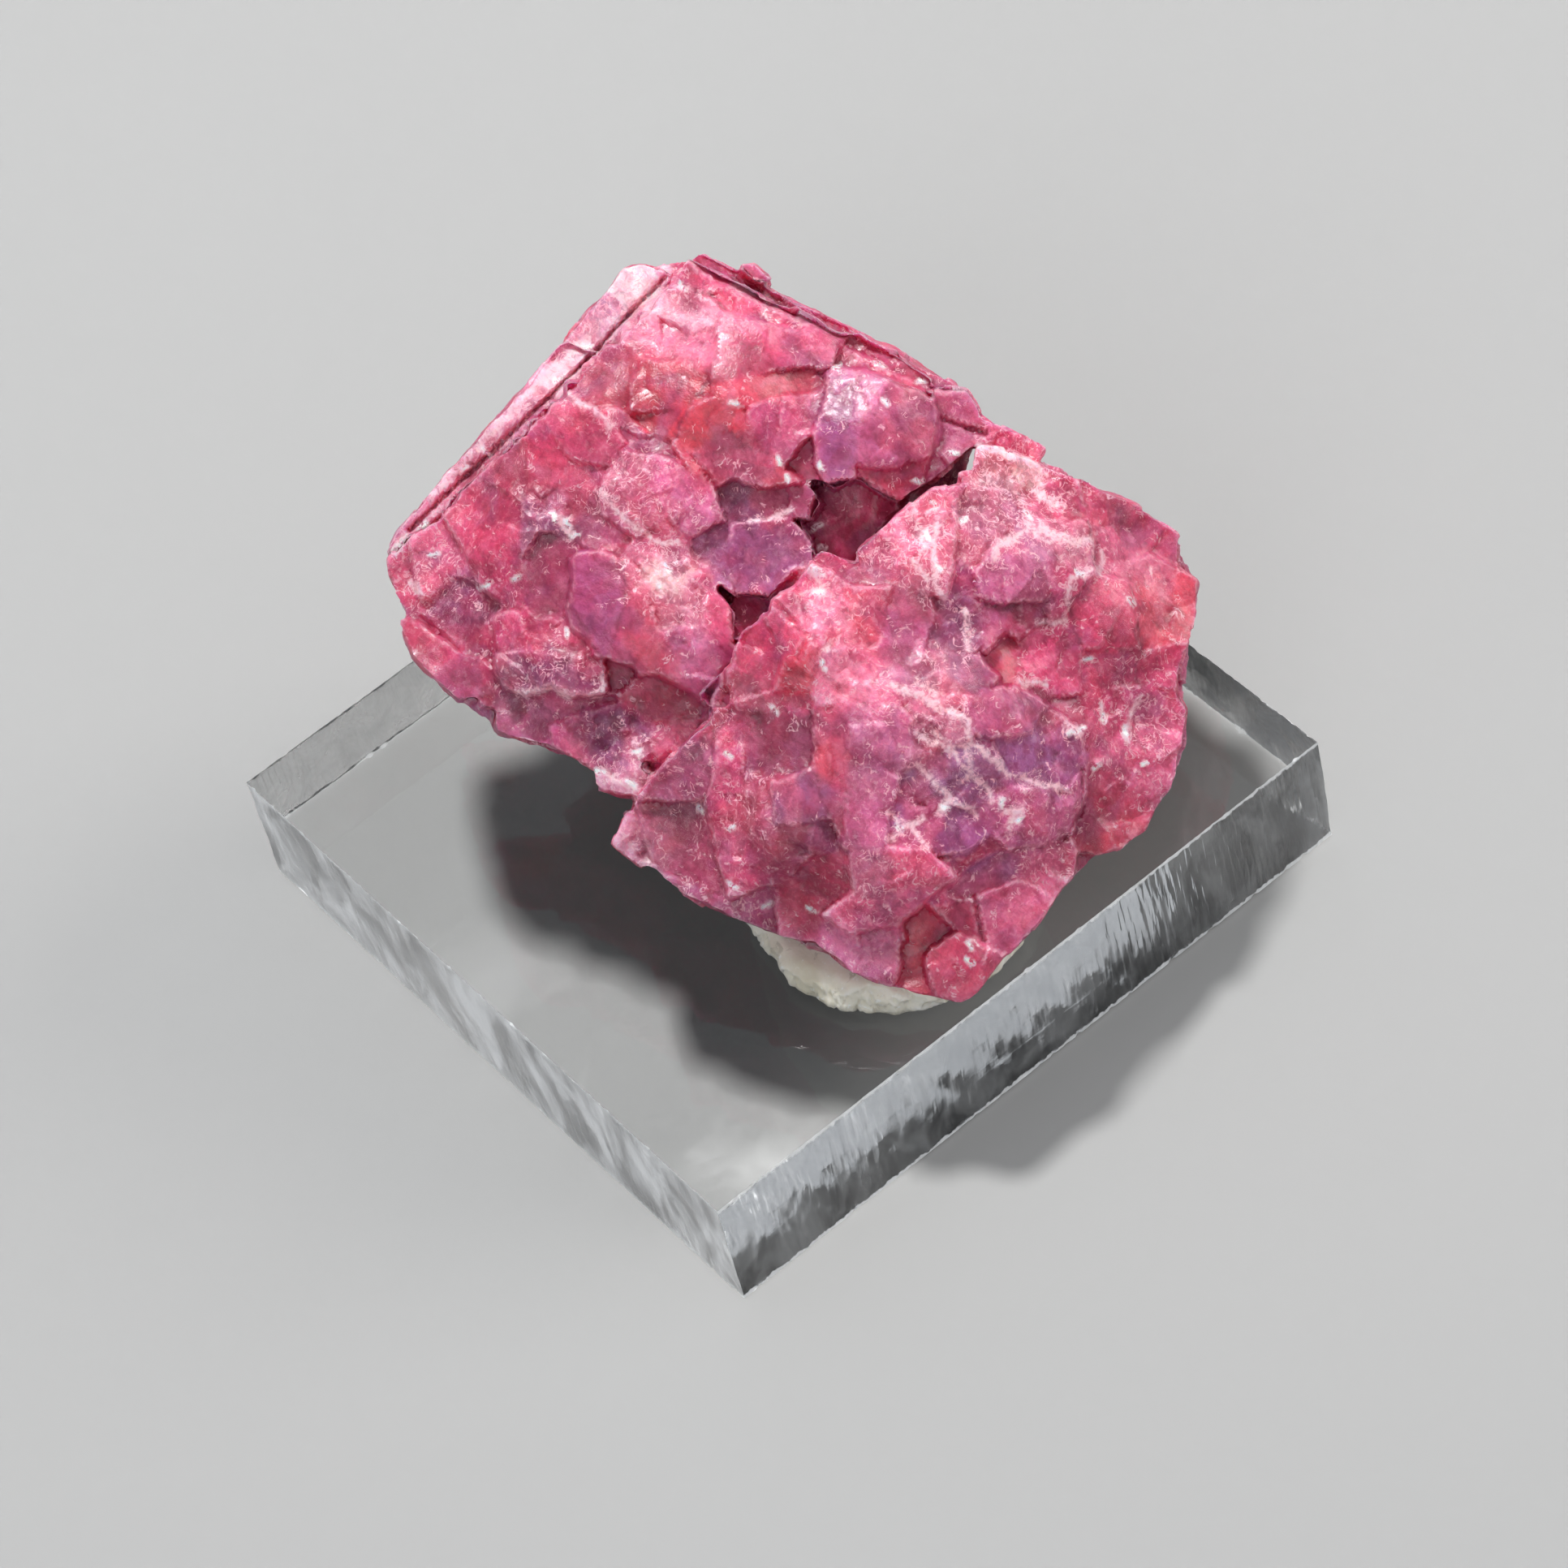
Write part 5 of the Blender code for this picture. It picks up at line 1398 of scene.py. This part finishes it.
# darker brownish spots scattered at random
dark_spots = k.ramp(k.noise(1300.0, 4.0, 0.65, 0.5), [(0.60, 0.0), (0.68, 1.0)])
colour = k.mix(k.math("MULTIPLY", dark_spots, 0.45), soft, (0.34, 0.30, 0.22))
speck = k.ramp(k.noise(3100.0, 3.0, 0.6), [(0.62, 0.0), (0.68, 1.0)])
colour = k.mix(k.math("MULTIPLY", speck, 0.6), colour, (0.95, 0.96, 0.93))
nt.links.new(colour, bsdf.inputs["Base Color"])
nt.links.new(k.math("MULTIPLY_ADD", k.noise(900.0, 3.0), 0.30, 0.30), bsdf.inputs["Roughness"])
bsdf.inputs["Subsurface Weight"].default_value = 0.35
bsdf.inputs["Subsurface Radius"].default_value = (1.0, 0.9, 0.7)
bsdf.inputs["Subsurface Scale"].default_value = 0.0006
n1 = k.bump(k.noise(700.0, 4.0, 0.6, 0.6), 0.4, 0.0002)
n2 = k.bump(k.noise(3600.0, 4.0, 0.7), 0.3, 0.00006, n1)
nt.links.new(n2, bsdf.inputs["Normal"])
putty_mesh.materials.clear()
putty_mesh.materials.append(tack_mat)
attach(putty, "root")
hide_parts("mineral_tack")

# ------------------------------------------------------- floor, lights, world
bm = bmesh.new()
bmesh.ops.create_grid(bm, x_segments=1, y_segments=1, size=1.5)
floor_mesh = bpy.data.meshes.new("floor")
bm.to_mesh(floor_mesh)
bm.free()
floor = bpy.data.objects.new("floor", floor_mesh)
floor.location = (0, 0, -0.0001)
bpy.context.scene.collection.objects.link(floor)
floor_mat, nt, bsdf, out = new_material("floor")
k = Nodes(nt)
tone = k.mix(k.noise(14.0, 4.0, 0.5), (0.350, 0.348, 0.342), (0.366, 0.364, 0.358))
nt.links.new(tone, bsdf.inputs["Base Color"])
bsdf.inputs["Roughness"].default_value = 0.85
bsdf.inputs["Specular IOR Level"].default_value = 0.2
floor_mesh.materials.append(floor_mat)


def area_light(name, place, aim, size, power, colour=(1, 1, 1)):
    data = bpy.data.lights.new(name, "AREA")
    data.shape = "DISK"
    data.size = size
    data.energy = power
    data.color = colour
    ob = bpy.data.objects.new(name, data)
    ob.location = place
    ob.rotation_euler = (Vector(aim) - Vector(place)).to_track_quat("-Z", "Y").to_euler()
    bpy.context.scene.collection.objects.link(ob)
    return ob


area_light("key", KEY, (0, 0, 0.01), 0.06, 1.90)
area_light("fill", (-0.40, -0.25, 0.35), (0, 0, 0.01), 0.30, 0.70, (0.94, 0.96, 1.0))
area_light("side", (0.42, -0.14, 0.27), (0, 0, 0.01), 0.20, 1.15, (1.0, 0.97, 0.94))
world = bpy.data.worlds.new("studio")
world.use_nodes = True
world.node_tree.nodes["Background"].inputs["Color"].default_value = (0.80, 0.84, 0.90, 1)
world.node_tree.nodes["Background"].inputs["Strength"].default_value = 0.50
bpy.context.scene.world = world
bpy.context.scene.view_settings.view_transform = "Standard"
bpy.context.scene.view_settings.look = "None"

scene = bpy.context.scene
scene.cycles.max_bounces = 6
scene.cycles.diffuse_bounces = 2
scene.cycles.glossy_bounces = 3
scene.cycles.transmission_bounces = 6
scene.cycles.caustics_reflective = False
scene.cycles.caustics_refractive = False
scene.cycles.sample_clamp_indirect = 6.0
scene.cycles.use_denoising = True
scene.cycles.use_adaptive_sampling = True
scene.cycles.adaptive_threshold = 0.05
scene.cycles.adaptive_min_samples = 8
